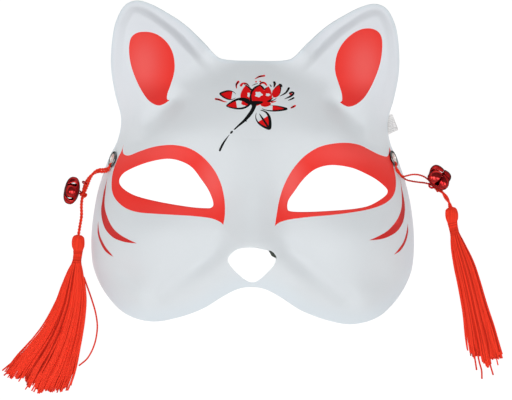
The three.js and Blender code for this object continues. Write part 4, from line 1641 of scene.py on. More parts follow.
@dataclass
class JingleBell:
    """Jingle bell pressed from one sheet, with four petals, its wire staple and a ring on the cord."""

    side: Side
    at: Triple
    axis: Triple
    loop: Triple
    along: Triple
    spin: float = 0.0
    radius: float = 6.8
    flatness: float = 0.60
    sheet: float = 0.5
    slot: float = 0.28
    slot_eye: float = 1.25
    eye_polar: float = 1.62
    petal_swell: float = 0.13
    squareness: float = 0.80
    ring: float = 1.5
    wire: float = 0.55
    ring_steps: int = 40
    wire_sides: int = 10
    staple: float = 1.15
    staple_wire: float = 0.42
    staple_sink: float = 0.15
    staple_overrun: float = 0.25
    staple_steps: int = 20
    rows: int = 72
    columns: int = 12

    def slot_half(self, polar: Array) -> Array:
        """Half width of a slot: nearly shut at the pole, widening to a round eye at the equator.

        Args:
            polar: Angles from the bell's top.

        Returns:
            The half widths.
        """
        share = np.clip((math.pi - polar) / (math.pi - self.eye_polar), 0, 1)
        widening = self.slot + (self.slot_eye - self.slot) * share**4
        before = (self.eye_polar - polar) * self.radius * self.flatness
        rounded = np.sqrt(np.clip(self.slot_eye**2 - before**2, 0, None))
        return np.where(polar < self.eye_polar, rounded, widening)

    def skin(self, radius: float) -> Array:
        """The four petals' surface: a flattened ball by polar angle and turn, pinched in at the slots.

        Args:
            radius: The ball's radius.

        Returns:
            Points by petal, row and column.
        """
        end = math.pi - math.asin(math.sqrt(2) * self.slot / self.radius)
        polar = np.linspace(0, end, self.rows)
        across = np.maximum(self.radius * np.sin(polar), 1e-6)
        gap = np.arcsin(np.clip(self.slot_half(polar) / across, 0, math.sqrt(0.5)))
        gap[-1] = math.pi / 4
        t = np.linspace(0, 1, self.columns + 1)
        quarter = (math.pi / 2) * np.arange(4)[:, None, None]
        turn = quarter + gap[None, :, None] + t[None, None, :] * (math.pi / 2 - 2 * gap)[None, :, None]
        full = 1 - self.petal_swell * ease(0.5, 1.5, polar)[None, :, None] * np.cos(4 * turn)
        level = np.sin(polar) ** self.squareness
        upright = np.sign(np.cos(polar)) * np.abs(np.cos(polar)) ** self.squareness
        across = radius * level[None, :, None] * full
        along = radius * self.flatness * upright[None, :, None] + 0 * turn
        return np.stack([across * np.cos(turn), across * np.sin(turn), along], -1)

    def body(self) -> Form:
        """Outer and inner skins of the four petals with the cut edges of the slots between them.

        Returns:
            The points and the faces.
        """
        outer, inner = self.skin(self.radius), self.skin(self.radius - self.sheet)
        size = self.rows * (self.columns + 1)
        sheet = grid_faces(self.rows, self.columns + 1)
        index = np.arange(size).reshape(self.rows, self.columns + 1)
        polar = np.linspace(0, math.pi, self.rows)[1:]
        cut = np.flatnonzero(self.slot_half(polar) > 0)
        faces = []
        for petal_number in range(4):
            a, b = petal_number * size, (4 + petal_number) * size
            faces += [sheet[:, ::-1] + a, sheet + b]
            for column, flip in ((0, True), (self.columns, False)):
                low, high = index[cut, column], index[cut + 1, column]
                wall = np.stack([a + low, a + high, b + high, b + low], 1)
                faces.append(wall[:, ::-1] if flip else wall)
        return np.concatenate([outer, inner]).reshape(-1, 3), faces

    def build(self) -> list[Piece]:
        """The bell's body with its staple, and the ring that the cord runs through.

        Returns:
            The two pieces.
        """
        axis = unit(np.array(self.axis))
        frame = facing(axis)
        c, s = math.cos(self.spin), math.sin(self.spin)
        frame = frame @ np.array([[c, -s, 0], [s, c, 0], [0, 0, 1]])
        points, faces = self.body()
        middle = self.radius * self.flatness - self.staple_sink
        turn = np.linspace(-self.staple_overrun, math.pi + self.staple_overrun, self.staple_steps)
        line = np.stack([self.staple * np.cos(turn), 0 * turn, middle + self.staple * np.sin(turn)], 1)
        radii = np.full((1, self.staple_steps), self.staple_wire)
        points, faces = joined([(points, faces), tubes(line[None], radii, 8, np.array([0.0, 1.0, 0.0]))])
        placed = points @ frame.T + np.array(self.at)
        body = make_piece(f"jingle_bell_{self.side.value}", placed, faces, weld=0.002)
        turn = turns(self.wire_sides)
        section = np.stack([self.ring + self.wire * np.cos(turn), self.wire * np.sin(turn)], 1)
        points, faces = turned(section, self.ring_steps)
        placed = points @ facing(np.array(self.along)).T + np.array(self.loop)
        hoop_piece = make_piece(f"bell_ring_{self.side.value}", placed, faces)
        return [body, hoop_piece]

    def dress(self, pieces: list[Piece], finish: Material, wire_finish: Material) -> None:
        """Puts on the finishes. The body stands in for the solid, and the ring rides with it.

        Args:
            pieces: The body and the ring.
            finish: The body's material.
            wire_finish: The ring's material.
        """
        for piece, own in zip(pieces, (finish, wire_finish)):
            piece.data.materials.append(own)
            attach(piece, "root")
            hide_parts(f"bell_{self.side.value}")


@dataclass
class Tassel:
    """Tassel: threads laid over a round head, a wound neck and a loose skirt lying on the table."""

    side: Side
    stations: Points
    seed: int
    strands: int
    lengthening: Points
    loose: tuple[Points, ...] = ()
    tufts: int = 16
    lift: float = 0.1
    thread: float = 0.42
    thread_sides: int = 6
    thread_stations: int = 34
    least_thickness: float = 0.9
    soft_light: float = 0.8
    head_length: float = 8.4
    head_threads: int = 52
    head_stations: int = 16
    head_thread: float = 0.27
    head_fullness: float = 0.93
    core_rows: int = 18
    core_sides: int = 20
    core_fullness: float = 0.84
    core_tone: float = 0.3
    neck_end: float = 15.4
    windings: int = 13
    winding_steps: int = 26
    winding_thread: float = 0.3
    loose_steps: int = 60
    loose_tone: float = 0.6

    def frame_at(self, share: Array) -> tuple[Array, Array, Array, Array]:
        """Middle, sideways direction, half width and half thickness at shares of the tassel's length.

        Past the last station the middle runs on straight and the widths go on as they last changed.

        Args:
            share: 0 at the head's top, 1 at the last station, and over 1 past it.

        Returns:
            Middles, directions across, half widths and half thicknesses.
        """
        line = through(self.stations, 12, closed=False)
        run = run_of(line[:, :2])
        at = share * run[-1]
        over = np.maximum(at - run[-1], 0.0)
        values = [np.interp(at, run, line[:, k]) for k in range(4)]
        slope = (line[-1] - line[-13]) / (run[-1] - run[-13])
        x, y, wide, thick = (values[k] + over * slope[k] for k in range(4))
        way = unit(np.gradient(line[:, :2], axis=0))
        wx, wy = (np.interp(at, run, way[:, k]) for k in range(2))
        across = unit(np.stack([-wy, wx, 0 * wx], -1))
        thick = np.maximum(thick, self.least_thickness)
        return np.stack([x, y, thick + self.lift], -1), across, wide, thick

    def length(self) -> float:
        """Length from the head's top to the last station."""
        return float(run_of(through(self.stations, 12, closed=False)[:, :2])[-1])

    def paths(self, a: Array, b: Array, share: Array) -> Array:
        """Thread lines at places (a, b) of the bundle's section, a across and b up, both -1 to 1."""
        middle, across, wide, thick = self.frame_at(share)
        return middle + across * (wide * a)[..., None] + UP * (thick * b)[..., None]

    def head(self) -> Piece:
        """Threads from the top over the round head down to the neck, with a core inside.

        Returns:
            The head.
        """
        count, stations = self.head_threads, self.head_stations
        neck = (self.head_length + 0.8) / self.length()
        share = np.linspace(0.0, neck, stations)[None] + np.zeros((count, 1))
        turn = turns(count)[:, None] + 0.25 * share / neck
        full = self.head_fullness * ease(-0.35, 0.12, share / neck)
        paths = self.paths(full * np.cos(turn), full * np.sin(turn), share)
        threads = tubes(paths, np.full(paths.shape[:2], self.head_thread), self.thread_sides, UP)
        rows, sides = self.core_rows, self.core_sides
        share = np.linspace(0.004, neck * 1.9, rows)[:, None] + np.zeros(sides)
        turn = turns(sides) + 0 * share
        core = self.paths(self.core_fullness * np.cos(turn), self.core_fullness * np.sin(turn), share)
        ends = np.arange(sides)[None, :], ((rows - 1) * sides + np.arange(sides))[None, ::-1]
        faces = [grid_faces(rows, sides, wrap=True)[:, ::-1], *ends]
        parts = joined([threads, (core.reshape(-1, 3), faces)])
        piece = make_piece(f"tassel_head_{self.side.value}", *parts)
        tones = np.repeat(self.tones(np.arange(count)).clip(0.75), stations * self.thread_sides)
        note_values(piece, "strand_tone_and_shade", np.concatenate([tones, np.full(rows * sides, self.core_tone)]))
        return piece

    def binding(self) -> Piece:
        """Thread wound round the neck in a close helix.

        Returns:
            The binding.
        """
        turns, stations = self.windings, self.windings * self.winding_steps
        start, end = self.head_length / self.length(), self.neck_end / self.length()
        share = np.linspace(start, end, stations)[None]
        turn = np.linspace(0, 2 * math.pi * turns, stations)[None]
        paths = self.paths(np.cos(turn), np.sin(turn), share)
        helix = tubes(paths, np.full(paths.shape[:2], self.winding_thread), self.thread_sides, UP)
        piece = make_piece(f"tassel_binding_{self.side.value}", *helix)
        rng = np.random.default_rng(self.seed + 3)
        winding = np.repeat(rng.uniform(0.45, 1.0, turns), stations // turns)
        note_values(piece, "strand_tone_and_shade", np.repeat(winding, self.thread_sides))
        return piece

    def tones(self, order: Array) -> Array:
        """Lightness of each thread: near full, and one in seven of their order much darker, as painted shadow
        lines between the threads.

        Args:
            order: Each thread's number from one side to the other.

        Returns:
            0 for dark to 1 for light.
        """
        rng = np.random.default_rng(self.seed + 7)
        count = len(order)
        tone = 1.0 - 0.13 * np.abs(rng.standard_normal(count))
        return np.where(order % 7 == 3, tone * rng.uniform(0.05, 0.50, count), tone).clip(0, 1)

    def skirt(self) -> Piece:
        """Threads that leave the neck in tufts, spread, wave a little and end at uneven lengths.

        Returns:
            The skirt.
        """
        rng = np.random.default_rng(self.seed)
        count, stations = self.strands, self.thread_stations
        total = self.length()
        tuft = np.linspace(-1, 1, self.tufts) + rng.uniform(-0.4, 0.4, self.tufts) / self.tufts
        radius, angle = np.sqrt(rng.uniform(0, 1, count)), rng.uniform(0, 2 * math.pi, count)
        a0, b0 = radius * np.cos(angle), radius * np.sin(angle)
        nearest = np.abs(a0[:, None] - tuft).argmin(1)
        pull = rng.uniform(0.0, 0.26, count)
        ends = np.asarray(self.lengthening, float)
        tuft_end = rng.uniform(-1.5, 1.5, self.tufts)
        extra = np.interp(a0, ends[:, 0], ends[:, 1]) + tuft_end[nearest] + rng.uniform(-3.5, 0.8, count)
        extra += np.where(rng.random(count) < 0.06, rng.uniform(0.5, 3.0, count), 0)
        t = np.linspace(0, 1, stations)[None]
        start = (self.neck_end - 1.5) / total
        share = start + (1 + extra[:, None] / total - start) * t
        late = ease(0.3, 1.0, t)
        a = a0[:, None] + (tuft[nearest] - a0)[:, None] * pull[:, None] * late
        wave = rng.uniform(0, 2 * math.pi, (count, 2))
        a = a + 0.022 * late * np.sin(7 * t + wave[:, :1]) + 0.012 * late * np.sin(17 * t + wave[:, 1:])
        b = b0[:, None] * (1 - 0.15 * late) + 0.03 * late * np.sin(9 * t + wave[:, 1:])
        paths = self.paths(0.93 * a, 0.90 * b, share)
        drop = ease(0.90, 1.0, t) * rng.uniform(-0.7, 0.3, count)[:, None]
        paths[..., 2] = np.maximum(paths[..., 2] + drop, self.thread + 0.05)
        radii = np.full((count, stations), self.thread) * rng.uniform(0.85, 1.15, count)[:, None]
        parts = [tubes(paths, radii, self.thread_sides, UP)]
        # Painted shade: threads low in the bundle are darker.
        tones = self.tones(a0.argsort().argsort()) * mix(0.55, 1.0, ease(-0.5, 0.35, b0))
        tone = [np.repeat(tones, stations * self.thread_sides)]
        for line in self.loose:
            path = spread(through(line, 12, closed=False), self.loose_steps)[None]
            parts.append(tubes(path, np.full(path.shape[:2], self.thread * 1.15), self.thread_sides, UP))
            tone.append(np.full(self.loose_steps * self.thread_sides, self.loose_tone))
        piece = make_piece(f"tassel_skirt_{self.side.value}", *joined(parts))
        note_values(piece, "strand_tone_and_shade", np.concatenate(tone))
        return piece

    def build(self) -> list[Piece]:
        """Head, binding and skirt.

        Returns:
            The three pieces.
        """
        pieces = [self.head(), self.binding(), self.skirt()]
        for piece in pieces:
            lift_normals(piece, self.soft_light)
        return pieces

    def dress(self, pieces: list[Piece], finish: Material) -> None:
        """Puts on the thread finish and stands the pieces in for the tassel's solid.

        Args:
            pieces: Head, binding and skirt.
            finish: Their material.
        """
        for piece in pieces:
            piece.data.materials.append(finish)
            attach(piece, "root")
            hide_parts(f"tassel_{self.side.value}")


@dataclass
class SideCord:
    """Twisted red cord from inside the temple through the eyelet and the bell's ring to the tassel's core."""

    side: Side
    route: Points
    knots: tuple[tuple[Triple, float], ...]
    double_to: Pair
    opening: tuple[Pair, Pair, float]
    diameter: float = 2.0
    ply: float = 0.46
    ply_twist: float = 0.38
    pitch: float = 3.2
    gap: float = 0.70
    slow_turn: float = 0.22
    single_scale: float = 1.0
    squeezed: float = 0.62
    squeezed_to: float = 8.0
    knot_wire: float = 0.58
    step: float = 0.22
    tone: float = 0.60
    tone_swing: float = 0.40
    # Painted shade on the cord's loop beside the bell: its tone there and the heights it lies between.
    loop_painted_shade: float = 1.0
    loop_shade_y: Pair = (0.0, 0.0)
    lower_scale: float = 1.0

    def line(self) -> Array:
        """Middle line in close steps."""
        return through(self.route, 16, closed=False)

    def length(self) -> float:
        """Real length of the cord in millimetres."""
        return float(run_of(self.line())[-1])

    def run_to(self, x: float, y: float) -> float:
        """Length along the cord to its place nearest to one (x, y)."""
        path = self.line()
        return float(run_of(path)[np.linalg.norm(path[:, :2] - (x, y), axis=1).argmin()])

    def strand(self, start: float, end: float, offset: float, scale: float) -> list[Form]:
        """Two plies twisted round a line that runs beside the cord's middle line.

        Each ply is a helix: the line's place plus the twist radius times the cosine and sine of
        the length along it over the pitch. Two doubled strands turn slowly about each other,
        except where they stand apart in a level loop.

        Args:
            start: Length along the cord where it begins.
            end: Length where it ends.
            offset: 1 or -1 for the two sides of a doubled stretch, and 0 on the middle line.
            scale: Size of the plies over their usual size.

        Returns:
            One tube for each ply.
        """
        count = max(40, int((end - start) / self.step))
        along = np.linspace(start, end, count)
        middle = place_at(self.line(), along)
        run = unit(np.gradient(middle, axis=0))
        level = unit(np.cross(run, UP))
        lift = np.cross(level, run)
        low, high = self.run_to(*self.opening[0]), self.run_to(*self.opening[1])
        share = np.clip((along - low) / max(high - low, 1e-6), 0, 1)
        apart = self.opening[2] * np.sin(math.pi * share) ** 0.75
        turn = self.slow_turn * (np.minimum(along - low, 0) + np.maximum(along - high, 0))
        away = np.cos(turn)[:, None] * level + np.sin(turn)[:, None] * lift
        lower = ease(high + 2.0, high + 6.0, along)
        size = scale * mix(self.squeezed, 1.0, ease(self.squeezed_to, self.squeezed_to + 4.0, along))
        size = size * mix(1.0, self.lower_scale, lower)
        beside = middle + offset * (self.gap * size / scale + apart)[:, None] * away
        plies = []
        for half in (0.0, math.pi):
            phase = 2 * math.pi * along / (self.pitch * scale) + half + offset
            out = np.cos(phase)[:, None] * level + np.sin(phase)[:, None] * lift
            path_of_ply = beside + self.ply_twist * size[:, None] * out
            plies.append(tubes(path_of_ply[None], self.ply * size[None], 6, out[None]))
        return plies

    def knot(self, at: Triple, size: float) -> Form:
        """Overhand knot: the curve (sin t + 2 sin 2t, cos t - 2 cos 2t, -1.3 sin 3t), shrunk and placed.

        Args:
            at: The knot's middle.
            size: Its radius.

        Returns:
            The knot's points and faces.
        """
        path = self.line()
        along = self.run_to(at[0], at[1])
        place = place_at(path, np.array([along - 0.5, along + 0.5]))
        frame = facing(place[1] - place[0] + np.array([0.0, 0.0, 1e-3]))
        t = np.linspace(0, 2 * math.pi, 90)
        x, y = np.sin(t) + 2 * np.sin(2 * t), np.cos(t) - 2 * np.cos(2 * t)
        curve = np.stack([x, y, -1.3 * np.sin(3 * t)], 1)
        points = curve * (size / 3.2) @ frame.T + np.array(at)
        points[:, 2] = np.maximum(points[:, 2], 0.62)
        return tubes(points[None], np.full((1, 90), self.knot_wire), 8, unit(place[1] - place[0]))

    def build(self) -> Piece:
        """Both doubled strands, the single one after the knot, and the knots.

        Returns:
            The cord's piece.
        """
        total = self.length()
        turn_point = self.run_to(*self.double_to)
        parts = []
        for offset in (-1.0, 1.0):
            parts += self.strand(0.0, turn_point, offset, 1.0)
        parts += self.strand(turn_point - 1.0, total, 0.0, self.single_scale)
        parts += [self.knot(at, size) for at, size in self.knots]
        piece = make_piece(f"twisted_cord_{self.side.value}", *joined(parts))
        rng = np.random.default_rng(11)
        tones = []
        top, foot = self.loop_shade_y
        for points, _ in parts:
            # Painted shade: darker tone on the loop beside the bell.
            loop = ease(0.0, 2.0, top - points[:, 1]) * ease(0.0, 2.0, points[:, 1] - foot)
            tones.append((self.tone + self.tone_swing * rng.random()) * mix(1.0, self.loop_painted_shade, loop))
        note_values(piece, "strand_tone_and_shade", np.concatenate(tones))
        return piece

    def dress(self, piece: Piece, finish: Material, carried: list[Piece]) -> None:
        """Args:
            piece: The cord.
            finish: Its material.
            carried: The bell's and the tassel's pieces. Not used.
        """
        piece.data.materials.append(finish)
        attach(piece, "root")
        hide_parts(f"cord_{self.side.value}")


@dataclass
class ElasticStrap:
    """Flat ribbed elastic from temple to temple, slack and folded inside the mask."""

    route: Points = (
        (65.8, 23.4, 17.5), (67.3, 23.2, 11.5), (68.2, 22.8, 6.8), (69.3, 22.5, 3.3), (71.4, 22.8, 1.65),
        (74.6, 23.8, 1.5), (76.7, 24.6, 1.5), (77.5, 24.9, 1.0), (76.7, 24.6, 0.5), (74.6, 23.6, 0.5),
        (68.0, 20.4, 0.55), (60.0, 18.4, 0.55), (52.0, 18.2, 0.55), (43.0, 20.5, 0.55), (34.0, 25.5, 0.55),
        (24.0, 31.5, 0.55), (12.0, 36.0, 0.55), (0.0, 37.5, 0.55), (-12.0, 36.5, 0.55), (-24.0, 33.0, 0.55),
        (-35.0, 28.0, 0.55), (-46.0, 22.5, 0.55), (-56.0, 19.5, 0.55), (-63.4, 20.6, 1.2),
        (-67.8, 22.2, 4.4), (-68.2, 22.8, 9.0), (-66.9, 22.7, 13.5), (-65.6, 22.6, 17.5),
    )
    width: float = 9.6
    thickness: float = 0.9
    ribs: int = 10
    rib_height: float = 0.16
    level_run: float = 0.55
    easing: int = 5

    def line(self) -> Array:
        """Middle line in close steps."""
        return through(self.route, 10, closed=False)

    def across_directions(self, run: Array) -> Array:
        """Level direction square to the run, kept from the last station where the band stands up or folds.

        Args:
            run: The band's direction at each station.

        Returns:
            One direction for each station.
        """
        square = np.stack([-run[:, 1], run[:, 0], 0 * run[:, 0]], 1)
        steady = np.linalg.norm(square, axis=1) > self.level_run
        last = np.maximum.accumulate(np.where(steady, np.arange(len(run)), -1))
        across = np.where(last[:, None] < 0, np.array([0.0, 1.0, 0.0]), unit(square[last]))
        turned_over = np.where((across[1:] * across[:-1]).sum(1) < 0, -1.0, 1.0)
        first = 1.0 if across[0, 1] > 0 else -1.0
        across = across * np.concatenate([[first], first * np.cumprod(turned_over)])[:, None]
        reach = np.arange(-self.easing, self.easing + 1)
        nearby = np.clip(np.arange(len(run))[:, None] + reach, 0, len(run) - 1)
        return unit(across[nearby].mean(1))

    def build(self) -> Piece:
        """Band with lengthwise ribs: thickness t/2 + rib (0.5 + 0.5 cos) across its width, both faces.

        Returns:
            The band.
        """
        path = spread(self.line(), 300)
        run = unit(np.gradient(path, axis=0))
        across = self.across_directions(run)
        face = unit(np.cross(run, across))
        across = unit(np.cross(face, run))
        w = np.linspace(-1, 1, self.ribs * 8 + 1)
        rib = 0.5 - 0.5 * np.cos(2 * math.pi * self.ribs * (w + 1) / 2)
        rounded = np.clip((1 - np.abs(w)) * 24, 0.25, 1)
        half = (self.thickness / 2 - self.rib_height) * rounded + self.rib_height * rib
        section_w = np.concatenate([w, w[::-1]]) * self.width / 2
        section_t = np.concatenate([half, -half[::-1]])
        grid = path[:, None] + section_w[:, None] * across[:, None] + section_t[:, None] * face[:, None]
        grid[..., 2] = np.maximum(grid[..., 2], 0.02)
        count = len(section_w)
        faces = [grid_faces(len(path), count, wrap=True)]
        ends = np.stack([np.arange(count), (len(path) - 1) * count + np.arange(count)])
        faces += [ends[:1, ::-1], ends[1:]]
        strap = make_piece("ribbed_elastic", grid.reshape(-1, 3), faces)
        along = np.repeat(run_of(path), count)
        note_values(strap, "along_mm", along)
        # Rib profile, read by the material as painted shade in the furrows.
        note_values(strap, "rib", np.tile(np.concatenate([rib, rib[::-1]]), len(path)))
        return strap

    def dress(self, strap: Piece) -> None:
        """Args:
            strap: The band.
        """
        strap.data.materials.append(ElasticFinish().make())
        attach(strap, "root")
        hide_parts("elastic_strap")


@dataclass
class Studio:
    """Camera straight above the mask, a pale table and even soft light."""

    height: float = 0.700
    over: Pair = (0.0015, -0.01915)
    roll: float = 0.8
    focal_px: float = 1266.0
    frame_px: float = 512.0
    table_size: float = 3.0
    table_drop: float = 0.1
    sky: float = 0.49
    sky_back: float = 0.22
    sky_front_y: float = -0.6
    sky_back_y: float = 0.8
    softboxes: tuple[tuple[str, Triple, float, float], ...] = (
        ("softbox_above", (0.0, -0.05, 1.25), 0.70, 4.35),
        ("softbox_left", (-0.75, -0.10, 0.80), 0.55, 2.3),
        ("softbox_right", (0.75, -0.10, 0.80), 0.55, 1.8),
        ("softbox_front", (0.0, -0.65, 0.95), 0.60, 0.9),
    )

    def camera(self) -> None:
        """Camera that looks straight down with the photograph's frame."""
        data = bpy.data.cameras.new("camera_above")
        data.sensor_width = 36.0
        data.lens = self.focal_px / self.frame_px * data.sensor_width
        data.clip_start, data.clip_end = 0.05, 10.0
        camera = bpy.data.objects.new("camera_above", data)
        camera.location = (*self.over, self.height)
        camera.rotation_euler = (0.0, 0.0, math.radians(self.roll))
        bpy.context.scene.collection.objects.link(camera)
        bpy.context.scene.camera = camera

    def table(self) -> None:
        """Flat table top just under the mask's rim."""
        half, z = self.table_size / 2 / MM, -self.table_drop
        corners = np.array([[-half, -half, z], [half, -half, z], [half, half, z], [-half, half, z]])
        top = make_piece("table_top", corners, [np.array([[0, 1, 2, 3]])])
        top.data.materials.append(TableFinish().make())

    def lamp(self, name: str, place: Triple, size: float, power: float) -> None:
        """Square soft light at a place, aimed at the mask.

        Args:
            name: The light's name.
            place: Where it stands, in metres.
            size: Its side, in metres.
            power: Its power in watts.
        """
        data = bpy.data.lights.new(name, "AREA")
        data.size, data.energy = size, power
        lamp = bpy.data.objects.new(name, data)
        lamp.location = place
        lamp.rotation_euler = Vector(place).to_track_quat("Z", "Y").to_euler()
        bpy.context.scene.collection.objects.link(lamp)

    def light(self) -> None:
        """Pale sky that darkens to the back, with soft lights above, left, right and in front."""
        world = bpy.data.worlds.new("pale_studio")
        world.use_nodes = True
        back = world.node_tree.nodes["Background"]
        back.inputs["Color"].default_value = (1.0, 1.0, 1.0, 1.0)
        board = Board(world.node_tree)
        axes = board.node("ShaderNodeSeparateXYZ")
        board.join(board.node("ShaderNodeTexCoord").outputs["Generated"], axes.inputs[0])
        fall = board.node("ShaderNodeMapRange", interpolation_type="SMOOTHSTEP")
        board.join(axes.outputs["Y"], fall.inputs["Value"])
        fall.inputs["From Min"].default_value = self.sky_front_y
        fall.inputs["From Max"].default_value = self.sky_back_y
        fall.inputs["To Min"].default_value = self.sky
        fall.inputs["To Max"].default_value = self.sky_back
        board.join(fall.outputs["Result"], back.inputs["Strength"])
        bpy.context.scene.world = world
        for softbox in self.softboxes:
            self.lamp(*softbox)
        bpy.context.scene.view_settings.view_transform = "Standard"


BELL_RED = MetalFinish(
    name="lacquered_bell_red",
    colour=(0.40, 0.006, 0.010, 1.0),
    # Much lighter than the colour: painted reflections in a slow cloud.
    wear_and_painted_reflection=(0.92, 0.060, 0.055, 1.0),
    painted_rim_shade=(0.045, 0.0006, 0.001, 1.0),
    roughness=0.12,
    coat=0.10,
)
WIRE_RED = MetalFinish(
    name="lacquered_wire_red",
    colour=(0.62, 0.010, 0.014, 1.0),
    wear_and_painted_reflection=(0.75, 0.020, 0.024, 1.0),
    painted_rim_shade=(0.30, 0.002, 0.004, 1.0),
    roughness=0.25,
)
NICKEL = MetalFinish(
    name="eyelet_nickel",
    colour=(0.34, 0.34, 0.33, 1.0),
    wear_and_painted_reflection=(0.24, 0.25, 0.25, 1.0),
    painted_rim_shade=(0.10, 0.11, 0.11, 1.0),
    roughness=0.22,
)
LEFT_CORD = SideCord(
    side=Side.LEFT,
    route=(
        (-71.9, -1.6, 7.0), (-74.4, -1.1, 8.3), (-77.0, -0.35, 9.6), (-78.3, -0.9, 10.7),
        (-78.6, -2.4, 11.3), (-79.6, -3.8, 10.3), (-82.0, -4.3, 8.6), (-84.8, -4.4, 7.2),
        (-87.6, -5.8, 6.0), (-90.0, -8.4, 5.0), (-91.8, -11.8, 4.0), (-93.2, -15.6, 2.9),
        (-94.3, -19.4, 1.9), (-94.8, -23.6, 1.2), (-94.7, -29.2, 1.1), (-95.4, -34.6, 1.6),
        (-95.9, -39.4, 2.9), (-96.0, -46.0, 3.4), (-96.5, -54.0, 3.2), (-97.6, -63.0, 3.1),
        (-98.8, -72.0, 3.1), (-100.4, -80.0, 3.1),
    ),
    knots=(((-71.7, -1.6, 6.9), 1.6), ((-93.5, -17.6, 2.7), 1.75)),
    double_to=(-94.0, -18.0),
    opening=((-71.9, -1.6), (-71.9, -1.6), 0.0),
    single_scale=1.1,
)
RIGHT_CORD = SideCord(
    side=Side.RIGHT,
    route=(
        (71.1, 0.9, 6.8), (74.0, 1.4, 8.2), (76.4, 2.2, 9.4), (77.4, 1.6, 10.7), (77.3, 0.0, 12.0),
        (78.1, -1.7, 11.0), (79.6, -3.4, 9.2), (81.5, -5.2, 7.4), (84.3, -5.8, 5.8), (87.6, -5.8, 4.5),
        (91.0, -6.1, 3.3), (94.2, -6.9, 2.5), (97.0, -8.4, 2.2), (100.2, -10.9, 1.5), (103.4, -12.6, 1.3),
        (106.0, -15.8, 1.6), (108.1, -20.0, 2.9), (109.2, -26.0, 3.4), (110.0, -33.0, 3.2),
        (112.2, -41.0, 3.1), (115.0, -50.0, 3.1), (117.6, -59.0, 3.1),
    ),
    knots=(((70.9, 0.9, 6.7), 1.6), ((101.6, -12.0, 1.9), 1.2)),
    double_to=(112.2, -41.0),
    opening=((82.4, -5.6), (97.2, -8.6), 1.6),
    ply=0.30,
    ply_twist=0.25,
    pitch=2.2,
    gap=0.42,
    slow_turn=0.5,
    squeezed=0.85,
    knot_wire=0.45,
    loop_painted_shade=0.38,
    loop_shade_y=(-4.0, -14.5),
    lower_scale=1.3,
)
LEFT_BELL = JingleBell(
    side=Side.LEFT,
    at=(-99.4, -15.4, 7.0),
    axis=(0.95, -0.20, -0.24),
    loop=(-92.9, -11.0, 4.4),
    along=(-0.4, -0.75, 0.5),
    spin=0.87,
    slot_eye=1.5,
    ring=1.1,
    wire=0.4,
)
RIGHT_BELL = JingleBell(
    side=Side.RIGHT,
    at=(101.7, -5.4, 6.6),
    axis=(-0.46, -0.56, -0.69),
    loop=(98.2, -9.7, 2.9),
    along=(-0.30, -0.35, 0.88),
    spin=1.418,
)
LEFT_TASSEL = Tassel(
    side=Side.LEFT,
    stations=(
        (-95.9, -40.0, 1.6, 1.6), (-96.0, -40.8, 2.9, 2.9), (-96.0, -43.0, 3.5, 3.4),
        (-96.0, -46.0, 3.4, 3.3), (-96.1, -48.3, 2.5, 2.6), (-96.4, -51.5, 2.2, 2.4),
        (-96.8, -54.8, 2.3, 2.5), (-97.0, -57.2, 3.3, 2.9), (-97.6, -62.0, 5.1, 3.2),
        (-98.4, -70.0, 7.6, 3.3), (-99.9, -79.5, 9.6, 3.1), (-104.6, -95.0, 13.0, 2.7),
        (-111.0, -109.0, 17.0, 1.9), (-115.8, -118.0, 19.2, 1.3),
    ),
    seed=3,
    strands=240,
    lengthening=(
        (-1.0, 7.0), (-0.9, 8.0), (-0.6, 8.5), (-0.3, 6.5), (0.1, 8.5), (0.3, 6.0), (0.7, 3.5), (1.0, -3.0),
    ),
    loose=(
        ((-92.6, -63.0, 3.0), (-91.0, -68.0, 1.6), (-88.6, -75.0, 0.6), (-86.2, -83.0, 0.4),
         (-85.2, -91.0, 0.4), (-86.6, -100.0, 0.4), (-90.2, -107.6, 0.5), (-95.0, -112.0, 1.2)),
        ((-108.0, -86.0, 3.2), (-115.5, -95.6, 2.0), (-125.0, -104.6, 1.0), (-137.3, -115.3, 0.6)),
        ((-110.0, -91.0, 3.0), (-117.0, -100.2, 1.8), (-125.6, -108.4, 0.9), (-136.4, -118.0, 0.6)),
    ),
)
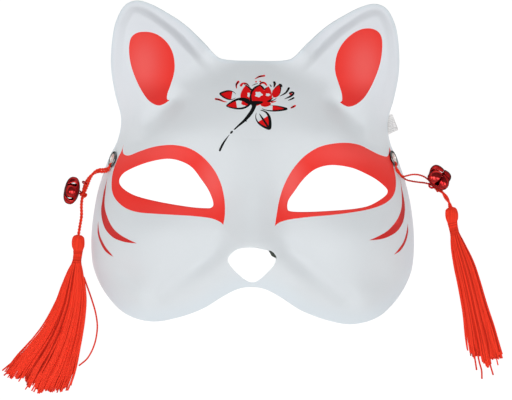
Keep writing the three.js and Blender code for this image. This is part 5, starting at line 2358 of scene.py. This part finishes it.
RIGHT_TASSEL = Tassel(
    side=Side.RIGHT,
    stations=(
        (108.7, -21.9, 1.6, 1.6), (108.9, -22.7, 2.9, 2.9), (109.2, -25.0, 3.5, 3.4),
        (109.5, -27.6, 3.4, 3.3), (109.8, -30.0, 2.6, 2.7), (110.5, -33.0, 2.3, 2.4),
        (111.3, -36.4, 2.4, 2.5), (111.9, -38.6, 3.2, 2.8), (113.6, -44.5, 4.7, 3.2),
        (116.6, -53.5, 6.3, 3.3), (119.5, -63.5, 7.0, 3.2), (122.8, -76.5, 7.9, 3.0),
        (127.0, -93.0, 9.8, 2.4), (129.6, -104.0, 10.6, 1.4),
    ),
    seed=5,
    strands=175,
    lengthening=((-1.0, -4.0), (-0.3, 1.0), (0.0, 4.5), (0.4, 2.0), (1.0, 1.5)),
    loose=(
        ((121.5, -86.0, 3.0), (123.6, -96.0, 2.2), (125.8, -106.0, 1.2), (127.4, -111.5, 0.6),
         (127.7, -116.2, 0.5)),
        ((126.5, -90.0, 3.0), (129.6, -100.0, 2.0), (132.0, -108.0, 0.9), (133.9, -114.0, 0.5)),
        ((119.5, -86.0, 2.6), (121.6, -96.0, 1.6), (123.6, -105.0, 0.7), (124.7, -111.4, 0.5)),
    ),
)


def report(*pieces: Piece) -> None:
    """Logs each piece's name and its number of points."""
    for piece in pieces:
        LOG.info("%s: %d points", piece.name, len(piece.data.vertices))


def main() -> None:
    """Builds the studio and the mask's pieces in order and reports each."""
    logging.basicConfig(level=logging.INFO, format="%(message)s")
    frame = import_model()
    LOG.info("solids: %s", ", ".join(sorted(frame["nodes"])))
    studio = Studio()
    studio.camera()
    thread = ThreadFinish().make()
    bell_red, wire_red, nickel = BELL_RED.make(), WIRE_RED.make(), NICKEL.make()
    for cord, bell, tassel in ((LEFT_CORD, LEFT_BELL, LEFT_TASSEL), (RIGHT_CORD, RIGHT_BELL, RIGHT_TASSEL)):
        string = cord.build()
        bell_pieces, tassel_pieces = bell.build(), tassel.build()
        bell.dress(bell_pieces, bell_red, wire_red)
        tassel.dress(tassel_pieces, thread)
        cord.dress(string, thread, bell_pieces + tassel_pieces)
        report(string, *bell_pieces, *tassel_pieces)
    strap = ElasticStrap()
    band = strap.build()
    strap.dress(band)
    report(band)
    shell = FoxShell()
    body = shell.build()
    shell.dress(body)
    report(body)
    for side in Side:
        eyelet = Eyelet(side, shell)
        ring = eyelet.build()
        eyelet.dress(ring, nickel)
        report(ring)
    studio.table()
    studio.light()


if __name__ == "__main__":
    main()
